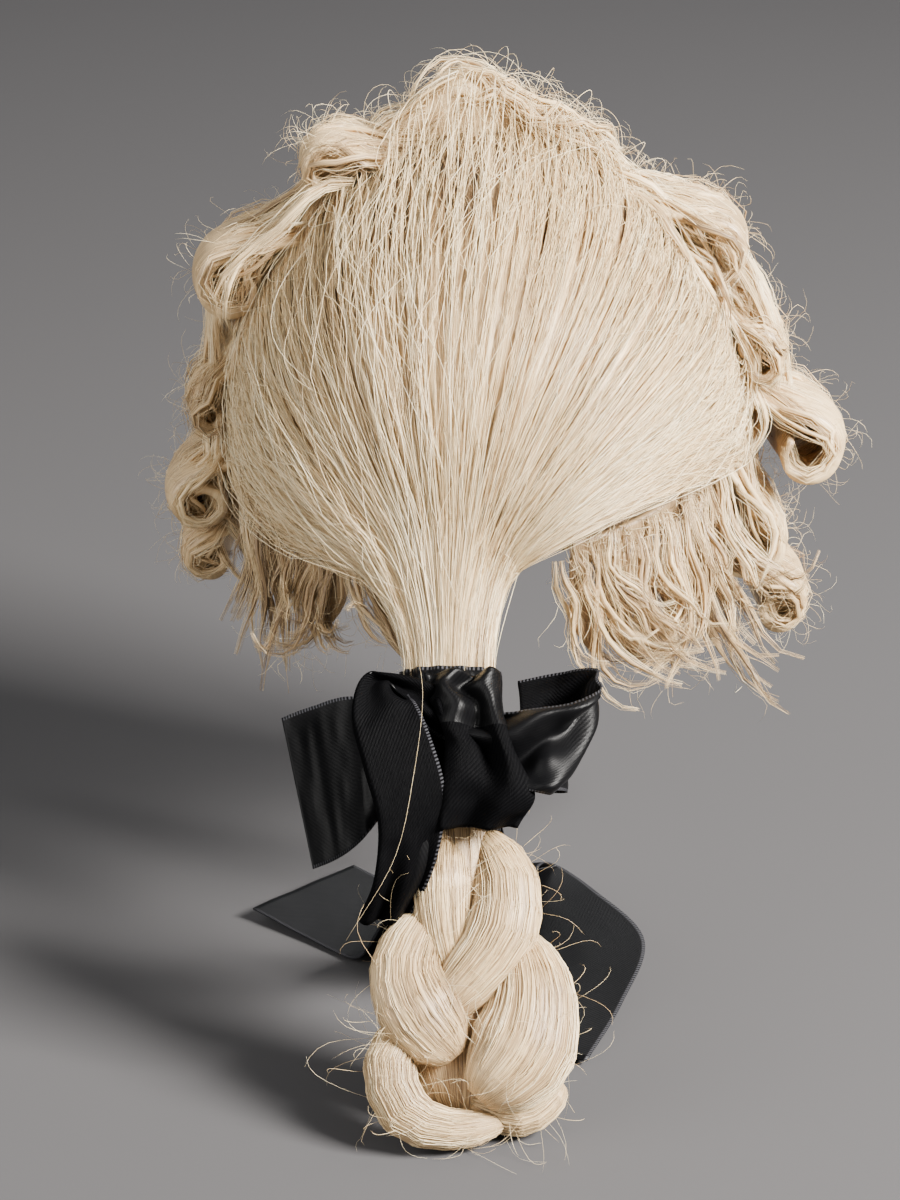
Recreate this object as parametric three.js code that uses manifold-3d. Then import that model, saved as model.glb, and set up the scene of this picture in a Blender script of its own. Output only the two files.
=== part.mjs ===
// A powdered wig with a queue: a cap that fits over the head, smooth back hair swept down to a tie,
// a high front, rolled side curls, hanging nape curls, and a plaited queue in a black ribbon bow.
// Millimetres, +Z up, +Y towards the wearer's face, +X towards the wearer's right.
// The origin is the inside of the cap at the top of the head.
import * as THREE from "three";
import { mergeVertices } from "three/addons/utils/BufferGeometryUtils.js";
import Module from "manifold-3d";

const wasm = await Module();
wasm.setup();
const { Manifold, Mesh: SolidMesh } = wasm;

// Driving dimensions
const HEAD_BREADTH = 156; // inside the cap, ear to ear
const HEAD_LENGTH = 190; // inside the cap, front to back
const HEAD_CROWN = 98; // from the widest level up to the top of the head
const CAP_WALL = 1.6;
const GAP = 0.3; // between pieces that rest on each other
const SEAT = 0.8; // height of the hair's inner face over the cap, clear of its facets
const RIM_DROP_FRONT = 42; // the cap's edge below the top of the head, at the forehead
const RIM_DROP_SIDE = 96; // above the ears
const RIM_DROP_NAPE = 106;

const BACK_HAIR_TOP = 14; // how thick the back hair lies on the cap, at the top
const BACK_HAIR_SIDE = 15; // and at its two side edges
const BACK_HAIR_EDGE_DEG = 93; // how far round the head the roots run, from the top to each side
const ROOT_LEAN_DEG = 6; // how far in front of the ears the line of roots lies
const GROOVE_DEPTH = 1.3; // between the locks of the back hair
const GROOVES = 10;
const GROOVE_RUN_IN = 0.3; // share of a stream over which the grooves deepen below the roots
const GROOVE_RUN_OUT = 0.12; // and fade above the tie
const BACK_SHARE = 0.88; // of the steps along a stream, those above the tie

const FRONT_HAIR_RIDGE = 35; // height of the front hair's ridge over the cap
const FRONT_HAIR_EDGE = 8; // thickness at the forehead
const FRONT_HAIR_EDGE_DEG = 80; // how far round the head it runs, from the top to each side
const FRONT_WAVE = 1.6;
const FRONT_WAVES = 9;
const FRONT_CREST = 0.12; // share of the way to the forehead at which the ridge is highest
const FRONT_CREST_RISE = 0.1; // how much lower it is at the roots, as a share of its height
const FRONT_PARTING = 0.9; // between the roots of the front hair and of the back hair

const TIE_BACK = 122; // behind the middle of the head
const TIE_DROP = 138; // below the top of the head
const TIE_SHIFT = -13.5; // towards the wearer's left
const QUEUE_TILT_DEG = 33; // how far the queue stands away from the vertical
const QUEUE_WIDTH = 29; // at the tie
const QUEUE_DEPTH = 21;
const TAIL_IN_WRAP = 28; // how far the back hair runs down inside the ribbon
const BRAID_LENGTH = 129; // from there to the turned-under end
const BRAID_BREADTH = 34; // of one plump strand, as a measure for all of them

const CURL_ROLL = 15; // outer radius of a plump side curl
const CURL_WALL = 5.6; // thickness of its rolled strip
const CURL_AIR = 1.2; // between two turns of it
const CURL_DEPTH = 54; // along the head, front to back
const CURL_BACK = 15; // how far its rear end lies behind the ears
const CURL_SLIM = 0.16; // how much slimmer a roll is at its two ends
const CURL_ROOT = 0.55; // thickness of the strip where it leaves the head
const CURL_TIP = 0.6; // and at its end inside the roll
const NAPE_LOCK = 62; // length of a hanging lock
const NAPE_LOCK_WIDTH = 20;
const NAPE_LOCK_DEPTH = 0.62; // its thickness, as a share of its width
const NAPE_FLARE = 0.3; // how far it stands away from the neck at first, as a share of its drop
const BAND_HEIGHT = 9; // of the sewn band that the locks hang from
const BAND_WALL = 2.6;
const BAND_ABOVE = 0.45; // share of the band's height that lies above the cap's edge
const BAND_FROM_DEG = 84; // where it starts and ends round the head, from the face
const BAND_TO_DEG = 160;

const RIBBON_WIDTH = 52;
const RIBBON_WALL = 1.1;
const WRAP_LENGTH = 54;
const WRAP_FOLDS = 7; // gathers round the ribbon's winding
const WRAP_TWIST = 5; // how far they lean along it, in radians
const WRAP_BELLY = 0.12; // how much wider it is half way down
const WRAP_EASE = 1.02; // how loosely it lies round the bundle, as a share of the bundle's size
const REST_DROP = 270; // the surface under the queue's end, below the top of the head

// How finely the soft forms are faceted
const BACK_HAIR_FACETS = { across: 4 * GROOVES, along: 11 };
const FRONT_HAIR_FACETS = { across: 30, along: 6 };
const BAND_FACETS = { across: 14, along: 1 };
const LOCK_FACETS = { along: 7, round: 6 };
const STRAND_SIDES = 7;

const HALF_BREADTH = HEAD_BREADTH / 2;
const HALF_LENGTH = HEAD_LENGTH / 2;
const QUEUE_TILT = THREE.MathUtils.degToRad(QUEUE_TILT_DEG);
const ROOT_LEAN = THREE.MathUtils.degToRad(ROOT_LEAN_DEG);
const EDGE_ANGLE = THREE.MathUtils.degToRad(BACK_HAIR_EDGE_DEG);
const UNDER_HAIR = CAP_WALL + SEAT; // height over the head at which hair rests on the cap

const DARK_RIBBON = { color: 0x0b0b0d, roughness: 0.42, metalness: 0 };
const PALE_HAIR = { color: 0xd9c7a5, roughness: 0.45, metalness: 0 };
const NET = { color: 0xb08d62, roughness: 0.85, metalness: 0 };

const vec = (x, y, z) => new THREE.Vector3(x, y, z);
const { clamp, lerp, smoothstep, degToRad } = THREE.MathUtils;

// Solids from grids and rings of points

function geometryOf(points, triangles) {
  const geometry = new THREE.BufferGeometry().setFromPoints(points);
  return geometry.setIndex(triangles);
}

function solidOf(geometry) {
  const plain = geometry.clone();
  plain.deleteAttribute("normal");
  plain.deleteAttribute("uv");
  const merged = mergeVertices(plain, 1e-4);
  const build = (order) =>
    new Manifold(
      new SolidMesh({
        numProp: 3,
        vertProperties: new Float32Array(merged.attributes.position.array),
        triVerts: new Uint32Array(order),
      }),
    );
  const order = Array.from(merged.index.array);
  const made = build(order);
  if (made.volume() > 0) return made;
  const flipped = [];
  for (let i = 0; i < order.length; i += 3) flipped.push(order[i], order[i + 2], order[i + 1]);
  return build(flipped);
}

// What is left of a solid beside its neighbours, without the crumbs of the cut.
function fitted(solid, neighbours) {
  const rest = neighbours.reduce((left, neighbour) => left.subtract(neighbour), solid);
  return rest.decompose().reduce((best, body) => (body.volume() > best.volume() ? body : best));
}

// A closed panel between an outer and an inner face, each a function of (across, along) from 0 to 1.
function panel(outer, inner, { across, along }) {
  const points = [];
  const triangles = [];
  const at = (side, i, j) => side * (across + 1) * (along + 1) + i * (along + 1) + j;
  for (const face of [outer, inner])
    for (let i = 0; i <= across; i++)
      for (let j = 0; j <= along; j++) points.push(face(i / across, j / along));
  const quad = (a, b, c, d) => triangles.push(a, b, c, a, c, d);
  for (let i = 0; i < across; i++)
    for (let j = 0; j < along; j++) {
      quad(at(0, i, j), at(0, i + 1, j), at(0, i + 1, j + 1), at(0, i, j + 1));
      quad(at(1, i, j), at(1, i, j + 1), at(1, i + 1, j + 1), at(1, i + 1, j));
    }
  for (let j = 0; j < along; j++) {
    quad(at(0, 0, j), at(0, 0, j + 1), at(1, 0, j + 1), at(1, 0, j));
    quad(at(0, across, j), at(1, across, j), at(1, across, j + 1), at(0, across, j + 1));
  }
  for (let i = 0; i < across; i++) {
    quad(at(0, i, 0), at(1, i, 0), at(1, i + 1, 0), at(0, i + 1, 0));
    quad(at(0, i, along), at(0, i + 1, along), at(1, i + 1, along), at(1, i, along));
  }
  return solidOf(geometryOf(points, triangles));
}

// A solid through a row of rings with the same number of points, closed at both ends.
function loft(rings) {
  const sides = rings[0].length;
  const points = rings.flat();
  const triangles = [];
  for (let k = 0; k + 1 < rings.length; k++)
    for (let i = 0; i < sides; i++) {
      const j = (i + 1) % sides;
      const [a, b] = [k * sides + i, k * sides + j];
      triangles.push(a, b, b + sides, a, b + sides, a + sides);
    }
  [0, rings.length - 1].forEach((k, end) => {
    const middle = points.length;
    points.push(rings[k].reduce((sum, p) => sum.add(p), vec(0, 0, 0)).divideScalar(sides));
    for (let i = 0; i < sides; i++) {
      const [a, b] = [k * sides + i, k * sides + ((i + 1) % sides)];
      triangles.push(middle, ...(end ? [a, b] : [b, a]));
    }
  });
  return solidOf(geometryOf(points, triangles));
}

// A tapering lock along a curve: width and depth are its half sizes as functions of 0 to 1.
function lock(path, facing, width, depth, { along: steps, round: sides }) {
  const curve = new THREE.CatmullRomCurve3(path, false, "centripetal");
  const rings = [];
  for (let k = 0; k <= steps; k++) {
    const t = k / steps;
    const centre = curve.getPointAt(t);
    const along = curve.getTangentAt(t);
    const out = facing.clone().addScaledVector(along, -facing.dot(along)).normalize();
    const side = along.clone().cross(out).normalize();
    const ring = [];
    for (let i = 0; i < sides; i++) {
      const angle = (2 * Math.PI * i) / sides;
      ring.push(
        centre
          .clone()
          .addScaledVector(side, width(t) * Math.cos(angle))
          .addScaledVector(out, depth(t) * Math.sin(angle)),
      );
    }
    rings.push(ring);
  }
  return loft(rings);
}

// A smooth value from a table of rows, by the column named key.
function fromTable(rows, key, column, value) {
  let k = 0;
  while (k < rows.length - 2 && rows[k + 1][key] < value) k++;
  const share = clamp((value - rows[k][key]) / (rows[k + 1][key] - rows[k][key]), 0, 1);
  return lerp(rows[k][column], rows[k + 1][column], share * share * (3 - 2 * share));
}

// The head under the cap

// A point over the head: spread turns from the top to the wearer's right, lean towards the face.
function overHead(spread, lean, height) {
  return vec(
    (HALF_BREADTH + height) * Math.sin(spread) * Math.cos(lean),
    (HALF_LENGTH + height) * Math.sin(lean),
    (HEAD_CROWN + height) * Math.cos(spread) * Math.cos(lean) - HEAD_CROWN,
  );
}

// The cap's edge below the top of the head, by bearing: 0 at the face, pi at the nape.
function rimDrop(bearing) {
  const side = smoothstep(bearing, degToRad(28), degToRad(72));
  const nape = smoothstep(bearing, degToRad(95), degToRad(165));
  return lerp(lerp(RIM_DROP_FRONT, RIM_DROP_SIDE, side), RIM_DROP_NAPE, nape);
}

function rimPolar(bearing) {
  return Math.acos(1 - rimDrop(Math.abs(bearing)) / HEAD_CROWN);
}

// A point by polar angle from the top of the head and bearing from the face.
function roundHead(polar, bearing, height) {
  return vec(
    (HALF_BREADTH + height) * Math.sin(polar) * Math.sin(bearing),
    (HALF_LENGTH + height) * Math.sin(polar) * Math.cos(bearing),
    (HEAD_CROWN + height) * Math.cos(polar) - HEAD_CROWN,
  );
}

// How far the cap reaches forwards, as a lean angle, for a spread angle.
function rimLean(spread) {
  let [low, high] = [0, degToRad(89)];
  for (let i = 0; i < 30; i++) {
    const lean = (low + high) / 2;
    const bearing = Math.atan2(Math.abs(Math.sin(spread)) * Math.cos(lean), Math.sin(lean));
    const inside = Math.cos(spread) * Math.cos(lean) > 1 - rimDrop(bearing) / HEAD_CROWN;
    if (inside) low = lean;
    else high = lean;
  }
  return low;
}

function cap() {
  const bearings = 32;
  const rings = 6;
  const points = [];
  const triangles = [];
  const heights = [CAP_WALL, 0];
  const at = (side, j, i) => side * (bearings * rings + 1) + 1 + (j - 1) * bearings + (i % bearings);
  heights.forEach((height, side) => {
    points.push(vec(0, 0, height));
    const pole = side * (bearings * rings + 1);
    for (let j = 1; j <= rings; j++)
      for (let i = 0; i < bearings; i++) {
        const bearing = (2 * Math.PI * i) / bearings;
        const mirrored = Math.min(bearing, 2 * Math.PI - bearing);
        points.push(roundHead((rimPolar(mirrored) * j) / rings, bearing, height));
      }
    const face = (a, b, c) => triangles.push(...(side ? [a, c, b] : [a, b, c]));
    for (let i = 0; i < bearings; i++) {
      face(pole, at(side, 1, i + 1), at(side, 1, i));
      for (let j = 1; j < rings; j++) {
        face(at(side, j, i), at(side, j, i + 1), at(side, j + 1, i + 1));
        face(at(side, j, i), at(side, j + 1, i + 1), at(side, j + 1, i));
      }
    }
  });
  for (let i = 0; i < bearings; i++) {
    triangles.push(at(0, rings, i), at(0, rings, i + 1), at(1, rings, i + 1));
    triangles.push(at(0, rings, i), at(1, rings, i + 1), at(1, rings, i));
  }
  return solidOf(geometryOf(points, triangles));
}

// The whole space inside the cap's outer face, to cut what rests on it.
function capSpace() {
  const ball = new THREE.SphereGeometry(1, 36, 18).rotateX(Math.PI / 2);
  const height = UNDER_HAIR;
  ball.scale(HALF_BREADTH + height, HALF_LENGTH + height, HEAD_CROWN + height);
  return solidOf(ball.translate(0, 0, -HEAD_CROWN));
}

// The queue's own frame: across to the wearer's right, down along the queue, out away from the neck

const QUEUE_DOWN = vec(0, -Math.sin(QUEUE_TILT), -Math.cos(QUEUE_TILT));
const QUEUE_OUT = vec(0, -Math.cos(QUEUE_TILT), Math.sin(QUEUE_TILT));

function onQueue(across, down, out) {
  return vec(TIE_SHIFT + across, -TIE_BACK, -TIE_DROP)
    .addScaledVector(QUEUE_DOWN, down)
    .addScaledVector(QUEUE_OUT, out);
}

// Back hair

// Pushes a point out to a given height over the head, softly, where it would lie lower.
function clearOfHead(point, height) {
  const middle = vec(0, 0, -HEAD_CROWN);
  const from = point.clone().sub(middle);
  const reach = Math.hypot(
    from.x / (HALF_BREADTH + height),
    from.y / (HALF_LENGTH + height),
    from.z / (HEAD_CROWN + height),
  );
  const soft = 0.02;
  const wanted = (reach + 1 + Math.hypot(reach - 1, soft)) / 2;
  return middle.addScaledVector(from, wanted / reach);
}

// How a stream runs, by its place across: fall is how steeply it leaves the roots, and reach its
// first straight stretch over the head and gather its last one above the tie, as shares of the
// head's length.
const STREAMS = [
  { across: 0, fall: 0.28, reach: 0.28, gather: 0.26 },
  { across: 0.25, fall: 0.75, reach: 0.36, gather: 0.3 },
  { across: 0.5, fall: 0.9, reach: 0.38, gather: 0.28 },
  { across: 0.75, fall: 0.62, reach: 0.26, gather: 0.42 },
  { across: 1, fall: -0.04, reach: 0.2, gather: 0.46 },
];

// One stream of hair: from its root over the head, round to its place in the tied bundle.
function backStream(across, along, height, side, grow) {
  const spread = (2 * across - 1) * (EDGE_ANGLE + grow / HALF_BREADTH);
  const root = overHead(spread, ROOT_LEAN, height);
  const out = overHead(spread, ROOT_LEAN, height + 1).sub(root).normalize();
  const start = vec(0, -1, -fromTable(STREAMS, "across", "fall", across));
  start.addScaledVector(out, -start.dot(out)).normalize();
  const turn = Math.PI * (1 - across);
  const halfWidth = QUEUE_WIDTH / 2 + grow;
  const halfDepth = QUEUE_DEPTH / 2 + grow;
  const place = (down) => onQueue(halfWidth * Math.cos(turn), down, side * halfDepth * Math.sin(turn));
  const share = along / BACK_SHARE;
  if (share >= 1) return place((TAIL_IN_WRAP + grow) * ((along - BACK_SHARE) / (1 - BACK_SHARE)));
  const bundle = place(0);
  const reach = HEAD_LENGTH * fromTable(STREAMS, "across", "reach", across);
  const gather = HEAD_LENGTH * fromTable(STREAMS, "across", "gather", across);
  const curve = new THREE.CubicBezierCurve3(
    root,
    root.clone().addScaledVector(start, reach),
    bundle.clone().addScaledVector(QUEUE_DOWN, -gather),
    bundle,
  );
  const keepClear = lerp(height, UNDER_HAIR + side * grow, smoothstep(share, 0.7, 1));
  return clearOfHead(curve.getPoint(share), keepClear);
}

function backHair(grow = 0) {
  const thick = (across) => {
    const edge = Math.abs(2 * across - 1);
    return lerp(BACK_HAIR_TOP, BACK_HAIR_SIDE, edge * edge);
  };
  const outer = (across, along) => {
    const groove = GROOVE_DEPTH * Math.abs(Math.sin(Math.PI * GROOVES * across)) - GROOVE_DEPTH;
    const begun = smoothstep(along, 0, GROOVE_RUN_IN);
    const shown = begun * (1 - smoothstep(along, BACK_SHARE - GROOVE_RUN_OUT, BACK_SHARE));
    return backStream(across, along, thick(across) + groove * shown + grow, 1, grow);
  };
  const inner = (across, along) => {
    const overBand = (BAND_WALL + SEAT) * smoothstep(Math.abs(2 * across - 1), 0.1, 0.5);
    return backStream(across, along, UNDER_HAIR + overBand - grow, -1, grow);
  };
  return panel(outer, inner, BACK_HAIR_FACETS);
}

// Front hair: brushed up from the forehead to a ridge over the ears

// height: of the ridge, as a share of its highest, by the angle round the head.
const RIDGE = [
  { spread: -82, height: 0.5 },
  { spread: -66, height: 0.45 },
  { spread: -36, height: 0.42 },
  { spread: -18, height: 0.72 },
  { spread: -4, height: 1 },
  { spread: 12, height: 0.68 },
  { spread: 34, height: 0.48 },
  { spread: 60, height: 0.44 },
  { spread: 82, height: 0.5 },
];

function frontHair(grow = 0) {
  const edge = degToRad(FRONT_HAIR_EDGE_DEG) + grow / HALF_BREADTH;
  const behind = ROOT_LEAN + (FRONT_PARTING - grow) / HALF_LENGTH;
  const lean = (spread, along) => lerp(behind, rimLean(spread) + grow / HALF_LENGTH, along);
  const outer = (across, along) => {
    const spread = lerp(-edge, edge, across);
    const ridge = FRONT_HAIR_RIDGE * fromTable(RIDGE, "spread", "height", THREE.MathUtils.radToDeg(spread));
    const down = smoothstep(along, FRONT_CREST, 1);
    const wave = FRONT_WAVE * Math.cos(2 * Math.PI * FRONT_WAVES * across) * Math.sin(Math.PI * along);
    const crest = 1 - FRONT_CREST_RISE * (1 - smoothstep(along, 0, FRONT_CREST));
    return overHead(spread, lean(spread, along), lerp(ridge * crest, FRONT_HAIR_EDGE, down) + wave + grow);
  };
  const inner = (across, along) => {
    const spread = lerp(-edge, edge, across);
    return overHead(spread, lean(spread, along), UNDER_HAIR - grow);
  };
  return panel(outer, inner, FRONT_HAIR_FACETS);
}

// Side curls: strips of hair rolled about a line along the head

// spread: where the roll's middle lies round the head, in degrees. lift: its height over the cap.
// wide and tall: the roll's half sizes. lead: the straight stretch that feeds it. All but spread
// are shares of CURL_ROLL. begin: the angle on the roll where it starts to turn, from straight
// out. turn: how far it rolls. rear: how far back it reaches, as a share of CURL_BACK.
const SIDE_CURLS = {
  left_top: { spread: -34, lift: 1.5, wide: 0.8, tall: 0.74, lead: 1.6, begin: 100, turn: 230, rear: 0.7 },
  left_upper: { spread: -61, lift: 1.62, wide: 1.15, tall: 1.15, lead: 2.2, begin: 78, turn: 300, rear: 0.9 },
  left_middle: { spread: -83, lift: 1.35, wide: 0.56, tall: 0.78, lead: 1, begin: 60, turn: 250, rear: 1.1 },
  left_lower: { spread: -99, lift: 1.66, wide: 1.06, tall: 0.95, lead: 1.5, begin: 66, turn: 380, rear: 1.2 },
  left_bottom: { spread: -109.5, lift: 1.8, wide: 0.8, tall: 0.78, lead: 0.8, begin: 70, turn: 300, rear: 1 },
  right_top: { spread: 54, lift: 1.34, wide: 0.95, tall: 1.15, lead: 1.8, begin: 80, turn: 270, rear: 0.7 },
  right_middle: { spread: 74, lift: 1.42, wide: 0.74, tall: 0.95, lead: 1.2, begin: 70, turn: 260, rear: 1 },
  right_upper: { spread: 91, lift: 2.35, wide: 1.15, tall: 1.2, lead: 2, begin: 72, turn: 290, rear: 0.8 },
  right_lower: { spread: 108, lift: 1.7, wide: 0.66, tall: 0.66, lead: 2.7, begin: 34, turn: 300, rear: 1.2 },
  right_bottom: { spread: 116.5, lift: 2.6, wide: 0.9, tall: 1, lead: 1.5, begin: 80, turn: 310, rear: 0.9 },
};

// The middle line of a rolled strip in the plane across the head: outwards, then upwards.
function rollPath(curl) {
  const radius = CURL_ROLL - CURL_WALL / 2;
  const turns = curl.turn / 360;
  const least = Math.min(curl.wide, curl.tall);
  const last = Math.max(radius - ((CURL_WALL + CURL_AIR) * turns) / least, CURL_WALL);
  const begin = degToRad(curl.begin);
  const onRoll = (angle, reach) =>
    new THREE.Vector2(curl.wide * Math.cos(angle), curl.tall * Math.sin(angle)).multiplyScalar(reach);
  const first = onRoll(begin, radius);
  const back = new THREE.Vector2(-curl.wide * Math.sin(begin), curl.tall * Math.cos(begin)).normalize();
  const points = [];
  const leads = 3;
  for (let k = leads; k > 0; k--) {
    const run = (CURL_ROLL * curl.lead * k) / leads;
    points.push(first.clone().addScaledVector(back, run));
  }
  const steps = Math.ceil(curl.turn / 34);
  for (let k = 0; k <= steps; k++)
    points.push(onRoll(begin - (degToRad(curl.turn) * k) / steps, lerp(radius, last, k / steps)));
  return points;
}

// The strip's outline round its middle line, thin at both ends.
function rollOutline(path, grow) {
  const edges = [[], []];
  path.forEach((point, k) => {
    const before = path[Math.max(k - 1, 0)];
    const after = path[Math.min(k + 1, path.length - 1)];
    const along = after.clone().sub(before).normalize();
    const normal = new THREE.Vector2(-along.y, along.x);
    const full = smoothstep(k, 0, 3);
    const spent = smoothstep(k, path.length - 4, path.length - 1);
    const half = (CURL_WALL / 2) * lerp(CURL_ROOT, 1, full) * lerp(1, CURL_TIP, spent) + grow;
    edges[0].push(point.clone().addScaledVector(normal, half));
    edges[1].push(point.clone().addScaledVector(normal, -half));
  });
  return new THREE.Shape([...edges[0], ...edges[1].reverse()]);
}

function sideCurl(curl, grow = 0) {
  const outline = rollOutline(rollPath(curl), grow);
  const strip = new THREE.ExtrudeGeometry(outline, { depth: 1, steps: 3, bevelEnabled: false });
  const side = Math.sign(curl.spread);
  const spread = degToRad(curl.spread);
  const rear = -CURL_BACK * curl.rear;
  const place = strip.attributes.position;
  for (let i = 0; i < place.count; i++) {
    const depth = place.getZ(i);
    const y = lerp(rear - grow, rear + CURL_DEPTH + grow, depth);
    const lean = Math.asin(clamp(y / (HALF_LENGTH + CURL_ROLL), -1, 1));
    const slim = 1 - CURL_SLIM * (2 * depth - 1) ** 2;
    const middle = overHead(spread, lean, CAP_WALL + CURL_ROLL * curl.lift);
    place.setXYZ(i, middle.x + side * place.getX(i) * slim, y, middle.z + place.getY(i) * slim);
  }
  return solidOf(strip);
}

// Nape curls: locks that hang from a sewn band under the back hair

// bearing: from the face, in degrees. length and width: shares of a lock's. bend: how far it has
// turned from straight down by its tip, in degrees, and late: how late it turns. toward: the way
// it turns, from straight out (0) to along the cap's edge towards the nape (90).
const NAPE_LOCKS = {
  right: [
    { bearing: 113, length: 1.1, width: 1, bend: 150, late: 2.2, toward: 20 },
    { bearing: 122, length: 1.4, width: 1.15, bend: 75, late: 2.4, toward: -35 },
    { bearing: 132, length: 1.15, width: 1.05, bend: 110, late: 2.6, toward: 50 },
    { bearing: 142, length: 1.05, width: 1, bend: 120, late: 2.8, toward: -50 },
    { bearing: 151, length: 1, width: 0.95, bend: 130, late: 2.4, toward: -60 },
    { bearing: 159, length: 0.9, width: 0.8, bend: 120, late: 2.6, toward: -70 },
  ],
  left: [
    { bearing: 111, length: 1.05, width: 0.95, bend: 40, late: 1.6, toward: 40 },
    { bearing: 121, length: 1.15, width: 1.1, bend: 20, late: 1.6, toward: 80 },
    { bearing: 132, length: 0.95, width: 0.9, bend: 130, late: 2.2, toward: 60 },
    { bearing: 143, length: 0.9, width: 0.85, bend: 95, late: 2, toward: -60 },
    { bearing: 154, length: 0.85, width: 0.75, bend: 120, late: 2.2, toward: 70 },
  ],
};

// A point on the band, by its share along it and height over the head.
function onBand(bearing, share, side, height) {
  const point = roundHead(rimPolar(bearing), bearing * side, height);
  point.z -= BAND_HEIGHT * (share - BAND_ABOVE);
  return point;
}

function napePath(row, side) {
  const bearing = degToRad(row.bearing);
  const root = onBand(bearing, 0.7, side, UNDER_HAIR + BAND_WALL / 2);
  const outward = vec(Math.sin(bearing) * side, Math.cos(bearing), 0);
  const toNape = vec(Math.cos(bearing) * side, -Math.sin(bearing), 0);
  const toward = outward
    .clone()
    .multiplyScalar(Math.cos(degToRad(row.toward)))
    .addScaledVector(toNape, Math.sin(degToRad(row.toward)));
  const steps = 10;
  const step = (NAPE_LOCK * row.length) / steps;
  const points = [root];
  for (let k = 1; k <= steps; k++) {
    const heading = degToRad(row.bend) * ((k - 0.5) / steps) ** row.late;
    const flare = NAPE_FLARE * Math.max(0, 1 - (2 * k) / steps);
    points.push(
      points[k - 1]
        .clone()
        .addScaledVector(vec(0, 0, -1), step * Math.cos(heading))
        .addScaledVector(toward, step * Math.sin(heading))
        .addScaledVector(outward, step * flare),
    );
  }
  return points;
}

function napeCurls(rows, side) {
  const face = (height) => (across, along) =>
    onBand(lerp(degToRad(BAND_FROM_DEG), degToRad(BAND_TO_DEG), across), along, side, height);
  let solid = panel(face(UNDER_HAIR + BAND_WALL), face(UNDER_HAIR), BAND_FACETS);
  for (const row of rows) {
    const bearing = degToRad(row.bearing);
    const half = (NAPE_LOCK_WIDTH / 2) * row.width;
    const width = (t) => half * (0.55 + 0.6 * Math.sin(Math.PI * Math.min(1, t * 1.15)) - 0.2 * t);
    const full = (t) => half * NAPE_LOCK_DEPTH * (1 - 0.4 * t);
    const depth = (t) => lerp(0.45 * BAND_WALL, full(t), smoothstep(t, 0, 0.25));
    const facing = vec(Math.sin(bearing) * side, Math.cos(bearing), 0.35);
    solid = solid.add(lock(napePath(row, side), facing, width, depth, LOCK_FACETS));
  }
  return solid;
}

// The plaited queue

// across and out: shares of a strand's breadth. down: share of the braid's length from where it
// starts. half: half width, and deep: half depth, as shares of the breadth.
const STRANDS = [
  {
    name: "core",
    rows: [
      { across: 0, down: 0, out: 0, half: 0.42, deep: 0.3 },
      { across: 0.05, down: 0.28, out: -0.02, half: 0.42, deep: 0.3 },
      { across: 0.1, down: 0.55, out: -0.1, half: 0.5, deep: 0.32 },
      { across: 0.16, down: 0.8, out: -0.12, half: 0.72, deep: 0.34 },
      { across: 0.14, down: 0.94, out: -0.08, half: 0.56, deep: 0.24 },
    ],
  },
  {
    name: "upper_left",
    rows: [
      { across: -0.06, down: 0.2, out: 0.06, half: 0.24, deep: 0.2 },
      { across: -0.08, down: 0.32, out: 0.16, half: 0.32, deep: 0.24 },
      { across: -0.04, down: 0.48, out: 0.14, half: 0.26, deep: 0.2 },
      { across: 0.1, down: 0.62, out: 0.02, half: 0.16, deep: 0.14 },
    ],
  },
  {
    name: "upper_right",
    rows: [
      { across: 0.3, down: 0.2, out: 0.02, half: 0.18, deep: 0.18 },
      { across: 0.54, down: 0.32, out: 0.14, half: 0.32, deep: 0.28 },
      { across: 0.5, down: 0.47, out: 0.22, half: 0.36, deep: 0.3 },
      { across: 0.14, down: 0.6, out: 0.24, half: 0.3, deep: 0.24 },
      { across: -0.2, down: 0.68, out: 0.08, half: 0.2, deep: 0.16 },
    ],
  },
  {
    name: "middle_left",
    rows: [
      { across: -0.2, down: 0.4, out: 0.0, half: 0.2, deep: 0.2 },
      { across: -0.42, down: 0.56, out: 0.2, half: 0.34, deep: 0.28 },
      { across: -0.26, down: 0.68, out: 0.3, half: 0.42, deep: 0.3 },
      { across: 0.06, down: 0.78, out: 0.22, half: 0.32, deep: 0.24 },
    ],
  },
  {
    name: "lower_right",
    rows: [
      { across: 0.68, down: 0.46, out: 0.0, half: 0.22, deep: 0.22 },
      { across: 0.8, down: 0.62, out: 0.16, half: 0.42, deep: 0.36 },
      { across: 0.68, down: 0.77, out: 0.26, half: 0.54, deep: 0.4 },
      { across: 0.28, down: 0.89, out: 0.22, half: 0.36, deep: 0.28 },
    ],
  },
  {
    name: "bottom_left",
    rows: [
      { across: -0.38, down: 0.68, out: 0.06, half: 0.24, deep: 0.22 },
      { across: -0.58, down: 0.82, out: 0.2, half: 0.26, deep: 0.26 },
      { across: -0.4, down: 0.93, out: 0.24, half: 0.26, deep: 0.24 },
      { across: 0.02, down: 0.965, out: 0.18, half: 0.2, deep: 0.2 },
      { across: 0.5, down: 0.945, out: 0.08, half: 0.17, deep: 0.16 },
    ],
  },
  {
    name: "tucked_end",
    rows: [
      { across: 0.2, down: 0.88, out: -0.1, half: 0.22, deep: 0.26 },
      { across: 0.7, down: 0.91, out: -0.04, half: 0.26, deep: 0.3 },
      { across: 1.08, down: 0.84, out: 0, half: 0.2, deep: 0.22 },
    ],
  },
];

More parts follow.
